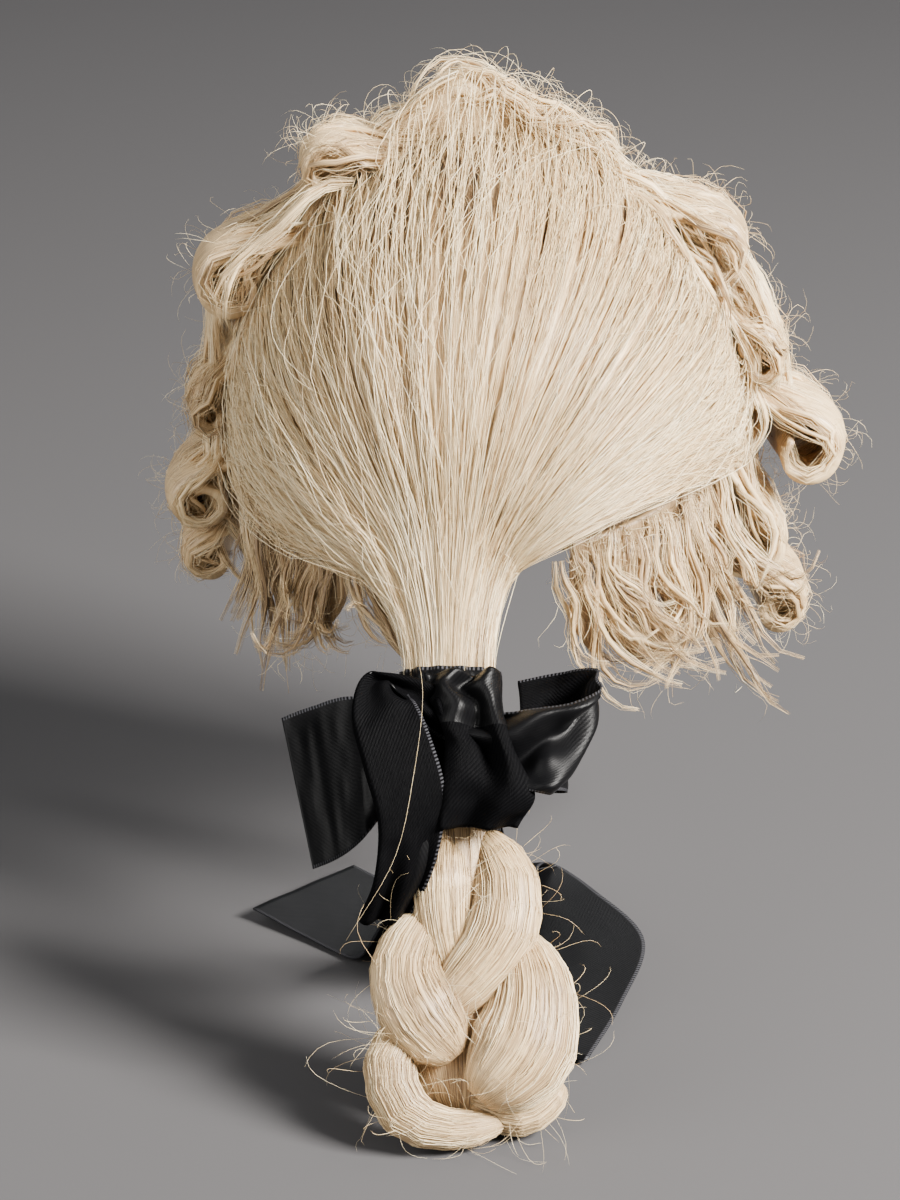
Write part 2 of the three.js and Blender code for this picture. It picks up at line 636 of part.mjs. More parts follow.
function strand(rows, grow) {
  const path = rows.map((row) =>
    onQueue(
      row.across * BRAID_BREADTH,
      TAIL_IN_WRAP + GAP + row.down * BRAID_LENGTH,
      row.out * BRAID_BREADTH,
    ),
  );
  const half = (column) => (t) => {
    const at = t * (rows.length - 1);
    const k = Math.min(Math.floor(at), rows.length - 2);
    return BRAID_BREADTH * lerp(rows[k][column], rows[k + 1][column], at - k) + grow;
  };
  const facets = { along: 2 * rows.length, round: STRAND_SIDES };
  return lock(path, QUEUE_OUT, half("half"), half("deep"), facets);
}

function braid(grow = 0) {
  return STRANDS.map((one) => strand(one.rows, grow)).reduce((all, one) => all.add(one));
}

// Ribbon

// Where the tables below measure from: the tie, or the surface under the queue's end.
const AT_TIE = { origin: onQueue(0, 0, 0), across: vec(1, 0, 0), down: QUEUE_DOWN, out: QUEUE_OUT };
const AT_REST = {
  origin: vec(TIE_SHIFT, 0, -REST_DROP),
  across: vec(1, 0, 0),
  down: vec(0, -1, 0),
  out: vec(0, 0, 1),
};

// across, down and out: where the ribbon's middle line runs, and wide: its width there, all as
// shares of RIBBON_WIDTH. lean: which way the width lies, in degrees from down (0) to across
// (90), and lift: how far it turns from there to out. At the surface, down means to the rear.
const KNOT = [
  { across: 0.08, down: 0.06, out: 0.345, wide: 0.5, lean: 90, lift: 0 },
  { across: 0.1, down: 0.25, out: 0.4, wide: 0.46, lean: 90, lift: 0 },
  { across: 0.18, down: 0.52, out: 0.43, wide: 0.44, lean: 84, lift: 0 },
  { across: 0.24, down: 0.8, out: 0.44, wide: 0.62, lean: 76, lift: 0 },
  { across: 0.18, down: 1.06, out: 0.35, wide: 0.5, lean: 90, lift: 0 },
];
const LOOP_RIGHT = [
  { across: 0.08, down: 0.5, out: 0.33, wide: 0.36, lean: 0, lift: 0 },
  { across: 0.42, down: 0.56, out: 0.39, wide: 0.5, lean: -8, lift: 0 },
  { across: 0.66, down: 0.56, out: 0.38, wide: 0.6, lean: -16, lift: 0 },
  { across: 0.84, down: 0.47, out: 0.24, wide: 0.74, lean: -18, lift: 0 },
  { across: 0.86, down: 0.4, out: 0.08, wide: 0.82, lean: -18, lift: 0 },
  { across: 0.66, down: 0.38, out: -0.06, wide: 0.8, lean: -10, lift: 0 },
  { across: 0.44, down: 0.38, out: -0.04, wide: 0.66, lean: 0, lift: 0 },
];
const LOOP_LEFT = [
  { across: 0.02, down: 0.36, out: 0.32, wide: 0.34, lean: 10, lift: 0 },
  { across: -0.2, down: 0.26, out: 0.36, wide: 0.34, lean: 20, lift: 0 },
  { across: -0.4, down: 0.16, out: 0.36, wide: 0.3, lean: 60, lift: 0 },
  { across: -0.42, down: 0.3, out: 0.44, wide: 0.4, lean: 100, lift: 0 },
  { across: -0.33, down: 0.6, out: 0.47, wide: 0.46, lean: 112, lift: 0 },
  { across: -0.24, down: 0.95, out: 0.43, wide: 0.46, lean: 114, lift: 0 },
  { across: -0.28, down: 1.3, out: 0.33, wide: 0.4, lean: 104, lift: 0 },
  { across: -0.42, down: 1.62, out: 0.1, wide: 0.32, lean: 90, lift: 0 },
];
const END_LEFT = [
  { across: -0.35, down: 0.52, out: 0.06, wide: 0.6, lean: 0, lift: 0 },
  { across: -0.62, down: 0.64, out: 0.06, wide: 0.94, lean: 6, lift: 0 },
  { across: -0.8, down: 0.72, out: 0.02, wide: 1, lean: 10, lift: 0 },
  { across: -0.98, down: 0.79, out: 0, wide: 1, lean: 12, lift: 0 },
];
const TAIL_LEFT = [
  { across: -0.06, down: 2.68, out: 1.62, wide: 0.26, lean: 90, lift: 0 },
  { across: -0.12, down: 2.3, out: 0.9, wide: 0.5, lean: 80, lift: 0 },
  { across: -0.1, down: 1.8, out: 0.3, wide: 0.9, lean: 66, lift: 0 },
  { across: -0.3, down: 1.15, out: 0.05, wide: 1, lean: 137, lift: 0 },
  { across: -0.66, down: 0.8, out: 0.03, wide: 1, lean: 137, lift: 0 },
  { across: -1.04, down: 0.46, out: 0.08, wide: 1, lean: 136, lift: 0 },
];
const TAIL_RIGHT = [
  { across: 0.22, down: 2.68, out: 1.62, wide: 0.24, lean: 90, lift: 0 },
  { across: 0.22, down: 2.1, out: 1.0, wide: 0.4, lean: 90, lift: 0 },
  { across: 0.2, down: 1.2, out: 0.42, wide: 0.7, lean: 90, lift: 0 },
  { across: 0.22, down: 0.62, out: 0.3, wide: 0.9, lean: 100, lift: 0 },
  { across: 0.3, down: 0.5, out: 0.18, wide: 1, lean: 110, lift: 0 },
  { across: 0.56, down: 0.95, out: 0.12, wide: 1, lean: 110, lift: 10 },
  { across: 0.84, down: 1.56, out: 0.12, wide: 1, lean: 92, lift: 10 },
  { across: 0.66, down: 2.2, out: 0.08, wide: 1, lean: 78, lift: 4 },
  { across: 0.42, down: 2.8, out: 0.04, wide: 1, lean: 72, lift: 0 },
];

const RIBBONS = [
  { name: "loop_right", rows: LOOP_RIGHT, frame: AT_TIE, steps: 16 },
  { name: "end_left", rows: END_LEFT, frame: AT_TIE, steps: 6 },
  { name: "loop_left", rows: LOOP_LEFT, frame: AT_TIE, steps: 16 },
  { name: "knot", rows: KNOT, frame: AT_TIE, steps: 10 },
  { name: "tail_left", rows: TAIL_LEFT, frame: AT_REST, steps: 14 },
  { name: "tail_right", rows: TAIL_RIGHT, frame: AT_REST, steps: 20 },
];

function ribbon(rows, frame, steps, grow = 0) {
  const edge = (sign) =>
    new THREE.CatmullRomCurve3(
      rows.map((row) => {
        const [lean, lift] = [degToRad(row.lean), degToRad(row.lift)];
        const half = sign * ((RIBBON_WIDTH * row.wide) / 2 + grow);
        return frame.origin
          .clone()
          .addScaledVector(frame.across, RIBBON_WIDTH * row.across + half * Math.sin(lean) * Math.cos(lift))
          .addScaledVector(frame.down, RIBBON_WIDTH * row.down + half * Math.cos(lean) * Math.cos(lift))
          .addScaledVector(frame.out, RIBBON_WIDTH * row.out + half * Math.sin(lift));
      }),
      false,
      "centripetal",
    );
  const [left, right] = [edge(-1), edge(1)];
  const rings = [];
  for (let k = 0; k <= steps; k++) {
    const [a, b] = [left.getPoint(k / steps), right.getPoint(k / steps)];
    const along = left.getTangent(k / steps).add(right.getTangent(k / steps)).normalize();
    const normal = b.clone().sub(a).cross(along).normalize().multiplyScalar(RIBBON_WALL / 2 + grow);
    rings.push([a.clone().sub(normal), b.clone().sub(normal), b.clone().add(normal), a.clone().add(normal)]);
  }
  return loft(rings);
}

function ribbonWrap(grow = 0) {
  const face = (inside) => (round, along) => {
    const angle = 2 * Math.PI * round;
    const gather = RIBBON_WALL * Math.cos(WRAP_FOLDS * angle + WRAP_TWIST * along) ** 2;
    const belly = 1 + WRAP_BELLY * Math.sin(Math.PI * along);
    const [x, y] = [QUEUE_WIDTH / 2 + GAP, QUEUE_DEPTH / 2 + GAP].map(
      (half) => half * WRAP_EASE * belly + (inside ? -grow : RIBBON_WALL + gather + grow),
    );
    return onQueue(x * Math.cos(angle), along * WRAP_LENGTH, y * Math.sin(angle));
  };
  const steps = 26;
  const rows = 4;
  const rings = [];
  for (const inside of [false, true])
    for (let j = 0; j <= rows; j++) {
      const along = inside ? 1 - j / rows : j / rows;
      rings.push(Array.from({ length: steps }, (_, i) => face(inside)(i / steps, along)));
    }
  const points = rings.flat();
  const triangles = [];
  for (let k = 0; k < rings.length; k++)
    for (let i = 0; i < steps; i++) {
      const [a, b] = [k * steps + i, k * steps + ((i + 1) % steps)];
      const next = (n) => (n + steps) % points.length;
      triangles.push(a, b, next(b), a, next(b), next(a));
    }
  return solidOf(geometryOf(points, triangles));
}

const group = new THREE.Group();

function add(name, solid, look) {
  const made = solid.getMesh();
  const geometry = new THREE.BufferGeometry();
  geometry.setAttribute("position", new THREE.BufferAttribute(new Float32Array(made.vertProperties), 3));
  geometry.setIndex(new THREE.BufferAttribute(new Uint32Array(made.triVerts), 1));
  geometry.computeVertexNormals();
  const mesh = new THREE.Mesh(geometry, new THREE.MeshStandardMaterial(look));
  mesh.name = name;
  group.add(mesh);
}

add("cap", cap(), NET);
add("back_hair", backHair(), PALE_HAIR);
add("front_hair", fitted(frontHair(), [backHair(GAP)]), PALE_HAIR);
const hair = [capSpace(), backHair(GAP), frontHair(GAP)];
for (const [name, curl] of Object.entries(SIDE_CURLS)) {
  add(`side_curl_${name}`, fitted(sideCurl(curl), hair), PALE_HAIR);
  hair.push(sideCurl(curl, GAP));
}
add("nape_curls_left", fitted(napeCurls(NAPE_LOCKS.left, -1), hair), PALE_HAIR);
add("nape_curls_right", fitted(napeCurls(NAPE_LOCKS.right, 1), hair), PALE_HAIR);

add("ribbon_wrap", ribbonWrap(), DARK_RIBBON);
const tied = [ribbonWrap(GAP)];
add("braid", fitted(braid(), [...tied, backHair(GAP)]), PALE_HAIR);
for (const { name, rows, frame, steps } of RIBBONS) {
  add(`ribbon_${name}`, fitted(ribbon(rows, frame, steps), [...tied, braid(GAP)]), DARK_RIBBON);
  tied.push(ribbon(rows, frame, steps, GAP));
}

export default group;
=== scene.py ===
"""The looks of a powdered wig: combed back hair, a high front, rolled side curls, hanging nape
curls and a plaited queue tied in a black satin ribbon.

Shapes are worked out in millimetres in the frame's axes and turned into metres when a mesh is
made: +Z up, +Y towards the wearer's face, +X towards the wearer's right, and the origin inside
the cap at the top of the head.
"""

import math

import bpy
import numpy as np
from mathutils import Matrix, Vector


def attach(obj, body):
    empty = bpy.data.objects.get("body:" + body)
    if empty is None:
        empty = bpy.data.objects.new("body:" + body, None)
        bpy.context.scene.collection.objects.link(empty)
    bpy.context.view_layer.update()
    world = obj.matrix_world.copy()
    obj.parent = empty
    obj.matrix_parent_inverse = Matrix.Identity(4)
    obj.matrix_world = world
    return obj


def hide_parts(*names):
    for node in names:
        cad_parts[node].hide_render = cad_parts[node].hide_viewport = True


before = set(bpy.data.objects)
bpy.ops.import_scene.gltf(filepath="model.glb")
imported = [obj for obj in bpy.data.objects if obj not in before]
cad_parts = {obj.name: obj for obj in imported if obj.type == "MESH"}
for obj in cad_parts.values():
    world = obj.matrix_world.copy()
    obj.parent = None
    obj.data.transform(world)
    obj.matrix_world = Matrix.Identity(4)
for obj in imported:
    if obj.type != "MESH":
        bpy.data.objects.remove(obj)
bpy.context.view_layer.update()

MM = 0.001

# The head, the cap and where the hair lies, as in the frame
HEAD_BREADTH = 156
HEAD_LENGTH = 190
HEAD_CROWN = 98
CAP_WALL = 1.6
UNDER_HAIR = CAP_WALL + 0.8
RIM_DROP = {"front": 42, "side": 96, "nape": 106}
BACK_HAIR_TOP = 14
BACK_HAIR_SIDE = 15
EDGE_ANGLE = math.radians(93)
ROOT_LEAN = math.radians(6)
BACK_SHARE = 0.88
FRONT_HAIR_RIDGE = 35
FRONT_HAIR_EDGE = 8
FRONT_EDGE_ANGLE = math.radians(80)
FRONT_WAVE = 1.6
FRONT_WAVES = 9
FRONT_CREST = 0.12
FRONT_CREST_RISE = 0.1
FRONT_PARTING = 0.9
TIE = (-13.5, -122, -138)
QUEUE_TILT = math.radians(33)
QUEUE_WIDTH = 29
QUEUE_DEPTH = 21
TAIL_IN_WRAP = 28.3
TAIL_HIDDEN = 28
BRAID_LENGTH = 129
BRAID_BREADTH = 34
CURL_ROLL = 15
CURL_WALL = 5.6
CURL_AIR = 1.2
CURL_DEPTH = 54
CURL_BACK = 15
CURL_SLIM = 0.16
CURL_ROOT = 0.55
CURL_TIP = 0.6
NAPE_LOCK = 62
NAPE_LOCK_WIDTH = 20
NAPE_LOCK_DEPTH = 0.62
NAPE_FLARE = 0.3
BAND_HEIGHT = 9
BAND_WALL = 2.6
BAND_ABOVE = 0.45
BAND_FROM = math.radians(84)
BAND_TO = math.radians(160)
RIBBON_WIDTH = 52
RIBBON_CLOTH = 0.5  # thickness of the satin
WRAP_LENGTH = 54
WRAP_FOLDS = 7
WRAP_TWIST = 5
WRAP_BELLY = 0.12
WRAP_EASE = 1.02
REST_DROP = 270

HALF_BREADTH = HEAD_BREADTH / 2
HALF_LENGTH = HEAD_LENGTH / 2

# The photograph's view
CAMERA_TARGET = (-13.5, -60, -137)
CAMERA_DISTANCE = 1400
CAMERA_ELEVATION = math.radians(22)
CAMERA_LENS = 120.12  # millimetres for a sensor whose long side is 36


# Numbers


def lerp(low, high, share):
    return low + (high - low) * share


def smooth(value, low, high):
    """0 below low, 1 above high, and a soft step between them."""
    share = np.clip((value - low) / (high - low), 0, 1)
    return share * share * (3 - 2 * share)


def unit(vectors):
    return vectors / np.maximum(np.linalg.norm(vectors, axis=-1, keepdims=True), 1e-9)


def points_of(x, y, z):
    return np.stack(np.broadcast_arrays(x, y, z), axis=-1).astype(float)


def table(columns, rows):
    """Rows of values under named columns."""
    return [dict(zip(columns.split(), row)) for row in rows]


def from_table(rows, key, column, value):
    """A smooth value from a table of rows, by the column named key."""
    keys = np.array([row[key] for row in rows], float)
    values = np.array([row[column] for row in rows], float)
    k = np.clip(np.searchsorted(keys, value, side="right") - 1, 0, len(keys) - 2)
    return lerp(values[k], values[k + 1], smooth(value, keys[k], keys[k + 1]))


def noise(u, v, seed):
    """Soft random heights from -1 to 1 over a lattice of unit cells."""
    lattice = np.random.default_rng(seed).uniform(-1, 1, (256, 256))
    i, j = np.floor(u).astype(int), np.floor(v).astype(int)
    du, dv = smooth(u - i, 0, 1), smooth(v - j, 0, 1)
    near = lerp(lattice[i % 256, j % 256], lattice[(i + 1) % 256, j % 256], du)
    far = lerp(lattice[i % 256, (j + 1) % 256], lattice[(i + 1) % 256, (j + 1) % 256], du)
    return lerp(near, far, dv)


def wander(rng, count, steps, waves):
    """A soft random course from -1 to 1 for each strand, with about so many waves along it."""
    share = np.linspace(0, 1, steps)
    total = np.zeros((count, steps))
    for part, quicker in ((1.0, 1.0), (0.5, 2.1), (0.25, 4.3)):
        rate = rng.uniform(0.5, 1.4, (count, 1)) * waves * quicker
        total += part * np.sin(2 * np.pi * (rate * share + rng.uniform(0, 1, (count, 1))))
    return total / 1.75


def through(points, share):
    """Places on a smooth curve through a row of points, at shares of the row from 0 to 1."""
    points = np.asarray(points, float)
    ends = [2 * points[0] - points[1], *points, 2 * points[-1] - points[-2]]
    row = np.array(ends)
    at = np.clip(share, 0, 1) * (len(points) - 1)
    k = np.minimum(at.astype(int), len(points) - 2)
    weight = (at - k)[..., None]
    p0, p1, p2, p3 = row[k], row[k + 1], row[k + 2], row[k + 3]
    gap = [np.sqrt(np.linalg.norm(b - a, axis=-1, keepdims=True)) for a, b in ((p0, p1), (p1, p2), (p2, p3))]
    d0, d1, d2 = [np.maximum(g, 1e-4) for g in gap]
    first = ((p1 - p0) / d0 - (p2 - p0) / (d0 + d1) + (p2 - p1) / d1) * d1
    second = ((p2 - p1) / d1 - (p3 - p1) / (d1 + d2) + (p3 - p2) / d2) * d1
    square = -3 * p1 + 3 * p2 - 2 * first - second
    cube = 2 * p1 - 2 * p2 + first + second
    return p1 + first * weight + square * weight**2 + cube * weight**3


def evenly(points, count):
    """Points at even distances on the smooth curve through a row of points."""
    fine = through(points, np.linspace(0, 1, 400))
    run = np.concatenate([[0], np.cumsum(np.linalg.norm(np.diff(fine, axis=0), axis=1))])
    at = np.linspace(0, run[-1], count)
    return np.stack([np.interp(at, run, fine[:, axis]) for axis in range(fine.shape[1])], axis=1)


def along_rows(rows, share):
    """Values between evenly spaced rows, at shares from 0 to 1."""
    at = np.clip(share, 0, 1) * (len(rows) - 1)
    k = np.minimum(at.astype(int), len(rows) - 2)
    weight = at - k
    if rows.ndim > 1:
        weight = weight[..., None]
    return lerp(rows[k], rows[k + 1], weight)


# Forms: each gives points from two shares, one across or round it and one along its hair


def over_head(spread, lean, height):
    """A point over the head: spread goes from its top to the sides, lean forwards."""
    return points_of(
        (HALF_BREADTH + height) * np.sin(spread) * np.cos(lean),
        (HALF_LENGTH + height) * np.sin(lean),
        (HEAD_CROWN + height) * np.cos(spread) * np.cos(lean) - HEAD_CROWN,
    )


def round_head(polar, bearing, height):
    """A point over the head: polar goes down from its top, bearing round it from the face."""
    return points_of(
        (HALF_BREADTH + height) * np.sin(polar) * np.sin(bearing),
        (HALF_LENGTH + height) * np.sin(polar) * np.cos(bearing),
        (HEAD_CROWN + height) * np.cos(polar) - HEAD_CROWN,
    )


def rim_drop(bearing):
    side = smooth(bearing, math.radians(28), math.radians(72))
    nape = smooth(bearing, math.radians(95), math.radians(165))
    return lerp(lerp(RIM_DROP["front"], RIM_DROP["side"], side), RIM_DROP["nape"], nape)


def rim_polar(bearing):
    return np.arccos(1 - rim_drop(np.abs(bearing)) / HEAD_CROWN)


def rim_lean(spread):
    """How far the cap reaches forwards, as a lean angle, for a spread angle."""
    low = np.zeros_like(spread)
    high = np.full_like(spread, math.radians(89))
    for _ in range(24):
        lean = (low + high) / 2
        bearing = np.arctan2(np.abs(np.sin(spread)) * np.cos(lean), np.sin(lean))
        inside = np.cos(spread) * np.cos(lean) > 1 - rim_drop(bearing) / HEAD_CROWN
        low = np.where(inside, lean, low)
        high = np.where(inside, high, lean)
    return low


QUEUE_DOWN = np.array([0, -math.sin(QUEUE_TILT), -math.cos(QUEUE_TILT)])
QUEUE_OUT = np.array([0, -math.cos(QUEUE_TILT), math.sin(QUEUE_TILT)])


def on_queue(across, down, out):
    shift = points_of(across, 0, 0)
    down, out = np.asarray(down)[..., None], np.asarray(out)[..., None]
    return np.array(TIE) + shift + QUEUE_DOWN * down + QUEUE_OUT * out


def clear_of_head(points, height):
    """Pushes points out to a height over the head, softly, where they would lie lower."""
    middle = np.array([0, 0, -HEAD_CROWN])
    away = points - middle
    sizes = points_of(HALF_BREADTH + height, HALF_LENGTH + height, HEAD_CROWN + height)
    reach = np.linalg.norm(away / sizes, axis=-1)
    wanted = (reach + 1 + np.hypot(reach - 1, 0.02)) / 2
    return middle + away * (wanted / reach)[..., None]


# How a stream of back hair runs, by its place across, in shares of the head's length
STREAMS = table("across fall reach gather", [
    (0, 0.28, 0.28, 0.26),
    (0.25, 0.75, 0.36, 0.3),
    (0.5, 0.9, 0.38, 0.28),
    (0.75, 0.62, 0.26, 0.42),
    (1, -0.04, 0.2, 0.46),
])


def back_stream(across, along, height, side):
    across, along, height = np.broadcast_arrays(across, along, height)
    spread = (2 * across - 1) * EDGE_ANGLE
    root = over_head(spread, ROOT_LEAN, height)
    out = unit(over_head(spread, ROOT_LEAN, height + 1) - root)
    start = points_of(0, -1, -from_table(STREAMS, "across", "fall", across))
    start = unit(start - out * np.sum(start * out, axis=-1, keepdims=True))
    turn = np.pi * (1 - np.clip(across, 0, 1))
    share = np.clip(along / BACK_SHARE, 0, 1)
    tail = TAIL_HIDDEN * np.clip((along - BACK_SHARE) / (1 - BACK_SHARE), 0, 1)
    wide, deep = QUEUE_WIDTH / 2 * np.cos(turn), side * QUEUE_DEPTH / 2 * np.sin(turn)
    bundle = on_queue(wide, np.zeros_like(wide), deep)
    reach = HEAD_LENGTH * from_table(STREAMS, "across", "reach", across)
    gather = HEAD_LENGTH * from_table(STREAMS, "across", "gather", across)
    p1 = root + start * reach[..., None]
    p2 = bundle - QUEUE_DOWN * gather[..., None]
    s = share[..., None]
    curve = root * (1 - s) ** 3 + 3 * p1 * s * (1 - s) ** 2 + 3 * p2 * s**2 * (1 - s) + bundle * s**3
    clear = clear_of_head(curve, lerp(height, UNDER_HAIR, smooth(share, 0.7, 1)))
    return np.where((along >= BACK_SHARE)[..., None], on_queue(wide, tail, deep), clear)


def back_hair_top(across, along):
    edge = np.abs(2 * across - 1)
    lift = lerp(BACK_HAIR_TOP, BACK_HAIR_SIDE, edge**2)
    return back_stream(across, along, lift - 1.4, 1)


def back_hair_under(across, along):
    over_band = (BAND_WALL + 0.8) * smooth(np.abs(2 * across - 1), 0.1, 0.5)
    return back_stream(across, along, UNDER_HAIR + over_band, -1)


# Height of the front hair's ridge as a share of its highest, by the angle round the head
RIDGE = table("spread height", [
    (-82, 0.5),
    (-66, 0.45),
    (-36, 0.42),
    (-18, 0.72),
    (-4, 1),
    (12, 0.68),
    (34, 0.48),
    (60, 0.44),
    (82, 0.5),
])
WALL_SHARE = 0.2  # of the way along the front hair, what climbs its back from the roots


def front_hair_top(across, along):
    """From the roots up the ridge's back, over the crest and down to the forehead."""
    spread = lerp(-FRONT_EDGE_ANGLE, FRONT_EDGE_ANGLE, across)
    behind = ROOT_LEAN + FRONT_PARTING / HALF_LENGTH
    forward = np.clip((along - WALL_SHARE) / (1 - WALL_SHARE), 0, 1.1)
    climb = np.clip(along / WALL_SHARE, 0, 1)
    lean = lerp(behind, rim_lean(spread), forward)
    ridge = FRONT_HAIR_RIDGE * from_table(RIDGE, "spread", "height", np.degrees(spread))
    crest = 1 - FRONT_CREST_RISE * (1 - smooth(forward, 0, FRONT_CREST))
    wave = FRONT_WAVE * np.cos(2 * np.pi * FRONT_WAVES * across) * np.sin(np.pi * np.clip(forward, 0, 1))
    height = lerp(ridge * crest, FRONT_HAIR_EDGE, smooth(forward, FRONT_CREST, 1)) + wave
    return over_head(spread, lean, lerp(UNDER_HAIR + 4, height, climb**0.8))


def front_hair_under(across, along):
    spread = lerp(-FRONT_EDGE_ANGLE, FRONT_EDGE_ANGLE, across)
    behind = ROOT_LEAN + FRONT_PARTING / HALF_LENGTH
    forward = np.clip((along - WALL_SHARE) / (1 - WALL_SHARE), 0, 1)
    return over_head(spread, lerp(behind, rim_lean(spread), forward), UNDER_HAIR)


# Side curls as in the frame: shares of CURL_ROLL, and angles in degrees. fill: how much loose hair
# closes the rear end.
SIDE_CURLS = table("name spread lift wide tall lead begin turn rear fill", [
    ("left_top", -34, 1.5, 0.8, 0.74, 1.6, 100, 230, 0.7, 1),
    ("left_upper", -61, 1.62, 1.15, 1.15, 2.2, 78, 300, 0.9, 1),
    ("left_middle", -83, 1.35, 0.56, 0.78, 1, 60, 250, 1.1, 1),
    ("left_lower", -99, 1.66, 1.06, 0.95, 1.5, 66, 380, 1.2, 0.4),
    ("left_bottom", -109.5, 1.8, 0.8, 0.78, 0.8, 70, 300, 1, 0.9),
    ("right_top", 54, 1.34, 0.95, 1.15, 1.8, 80, 270, 0.7, 1),
    ("right_middle", 74, 1.42, 0.74, 0.95, 1.2, 70, 260, 1, 1),
    ("right_upper", 91, 2.35, 1.15, 1.2, 2, 72, 290, 0.8, 0.2),
    ("right_lower", 108, 1.7, 0.66, 0.66, 2.7, 34, 300, 1.2, 0.8),
    ("right_bottom", 116.5, 2.6, 0.9, 1, 1.5, 80, 310, 0.9, 0.8),
])


def roll_path(curl):
    """The middle line of a rolled strip in the plane across the head: outwards, then upwards."""
    radius = CURL_ROLL - CURL_WALL / 2
    least = min(curl["wide"], curl["tall"])
    last = max(radius - (CURL_WALL + CURL_AIR) * curl["turn"] / 360 / least, CURL_WALL)
    begin = math.radians(curl["begin"])
    size = np.array([curl["wide"], curl["tall"]])
    first = size * [math.cos(begin), math.sin(begin)] * radius
    back = unit(size * [-math.sin(begin), math.cos(begin)])
    leads = [first + back * CURL_ROLL * curl["lead"] * k / 3 for k in (3, 2, 1)]
    steps = math.ceil(curl["turn"] / 34)
    turns = []
    for k in range(steps + 1):
        angle = begin - math.radians(curl["turn"]) * k / steps
        turns.append(size * [math.cos(angle), math.sin(angle)] * lerp(radius, last, k / steps))
    return np.array(leads + turns)


def curl_form(curl):
    """A point of a roll: its share along the head, its share along the strip, and the side."""
    rough = roll_path(curl)
    line = evenly(rough, 80)
    heading = unit(np.gradient(line, axis=0))
    normal = np.stack([-heading[:, 1], heading[:, 0]], axis=1)
    share = np.linspace(0, 1, 80)
    knots = len(rough) - 1
    full = smooth(share * knots, 0, 3)
    spent = smooth(share * knots, knots - 3, knots)
    half = CURL_WALL / 2 * lerp(CURL_ROOT, 1, full) * lerp(1, CURL_TIP, spent)
    side = math.copysign(1, curl["spread"])
    rear = -CURL_BACK * curl["rear"]

    def form(depth, along, face):
        off = (along_rows(half, along) * face)[..., None]
        flat = along_rows(line, along) + along_rows(normal, along) * off
        y = rear + CURL_DEPTH * depth
        lean = np.arcsin(np.clip(y / (HALF_LENGTH + CURL_ROLL), -1, 1))
        slim = 1 - CURL_SLIM * (2 * depth - 1) ** 2
        middle = over_head(math.radians(curl["spread"]), lean, CAP_WALL + CURL_ROLL * curl["lift"])
        x = middle[..., 0] + side * flat[..., 0] * slim
        return points_of(x, y, middle[..., 2] + flat[..., 1] * slim)

    return form, side


# Hanging nape locks as in the frame: length and width in shares, angles in degrees
NAPE_LOCK_COLUMNS = "bearing length width bend late toward"
NAPE_LOCKS = {
    "right": table(NAPE_LOCK_COLUMNS, [
        (113, 1.1, 1, 150, 2.2, 20),
        (122, 1.4, 1.15, 75, 2.4, -35),
        (132, 1.15, 1.05, 110, 2.6, 50),
        (142, 1.05, 1, 120, 2.8, -50),
        (151, 1, 0.95, 130, 2.4, -60),
        (159, 0.9, 0.8, 120, 2.6, -70),
    ]),
    "left": table(NAPE_LOCK_COLUMNS, [
        (111, 1.05, 0.95, 40, 1.6, 40),
        (121, 1.15, 1.1, 20, 1.6, 80),
        (132, 0.95, 0.9, 130, 2.2, 60),
        (143, 0.9, 0.85, 95, 2, -60),
        (154, 0.85, 0.75, 120, 2.2, 70),
    ]),
}


def on_band(bearing, share, side, height):
    points = round_head(rim_polar(bearing), bearing * side, height)
    points[..., 2] -= BAND_HEIGHT * (share - BAND_ABOVE)
    return points


def nape_path(row, side):
    bearing, bend = math.radians(row["bearing"]), math.radians(row["bend"])
    root = on_band(np.array(bearing), 0.7, side, UNDER_HAIR + BAND_WALL / 2)
    outward = np.array([math.sin(bearing) * side, math.cos(bearing), 0])
    to_nape = np.array([math.cos(bearing) * side, -math.sin(bearing), 0])
    turn = math.radians(row["toward"])
    toward = outward * math.cos(turn) + to_nape * math.sin(turn)
    steps = 10
    step = NAPE_LOCK * row["length"] / steps
    points = [root]
    for k in range(1, steps + 1):
        heading = bend * ((k - 0.5) / steps) ** row["late"]
        flare = NAPE_FLARE * max(0, 1 - 2 * k / steps)
        drop = np.array([0, 0, -math.cos(heading)])
        points.append(points[-1] + step * (drop + toward * math.sin(heading) + outward * flare))
    return np.array(points)


def tube_form(path, facing, width, depth):
    """A tube round a path: points by their share round it, their share along it and a swell."""
    centre = evenly(path, 120)
    heading = unit(np.gradient(centre, axis=0))
    facing = np.array(facing, float)
    out = unit(facing - heading * (heading @ facing)[:, None])
    side = np.cross(heading, out)

    def form(around, along, swell=1.0):
        angle = 2 * np.pi * around
        wide = (width(along) * np.cos(angle) * swell)[..., None]
        deep = (depth(along) * np.sin(angle) * swell)[..., None]
        return along_rows(centre, along) + along_rows(side, along) * wide + along_rows(out, along) * deep

    return form


def nape_lock_form(row, side):
    bearing = math.radians(row["bearing"])
    half = NAPE_LOCK_WIDTH / 2 * row["width"]

    def width(t):
        return half * (0.55 + 0.6 * np.sin(np.pi * np.minimum(1, t * 1.15)) - 0.2 * t)

    def depth(t):
        return lerp(0.45 * BAND_WALL, half * NAPE_LOCK_DEPTH * (1 - 0.4 * t), smooth(t, 0, 0.25))

    facing = (math.sin(bearing) * side, math.cos(bearing), 0.35)
    return tube_form(nape_path(row, side), facing, width, depth)


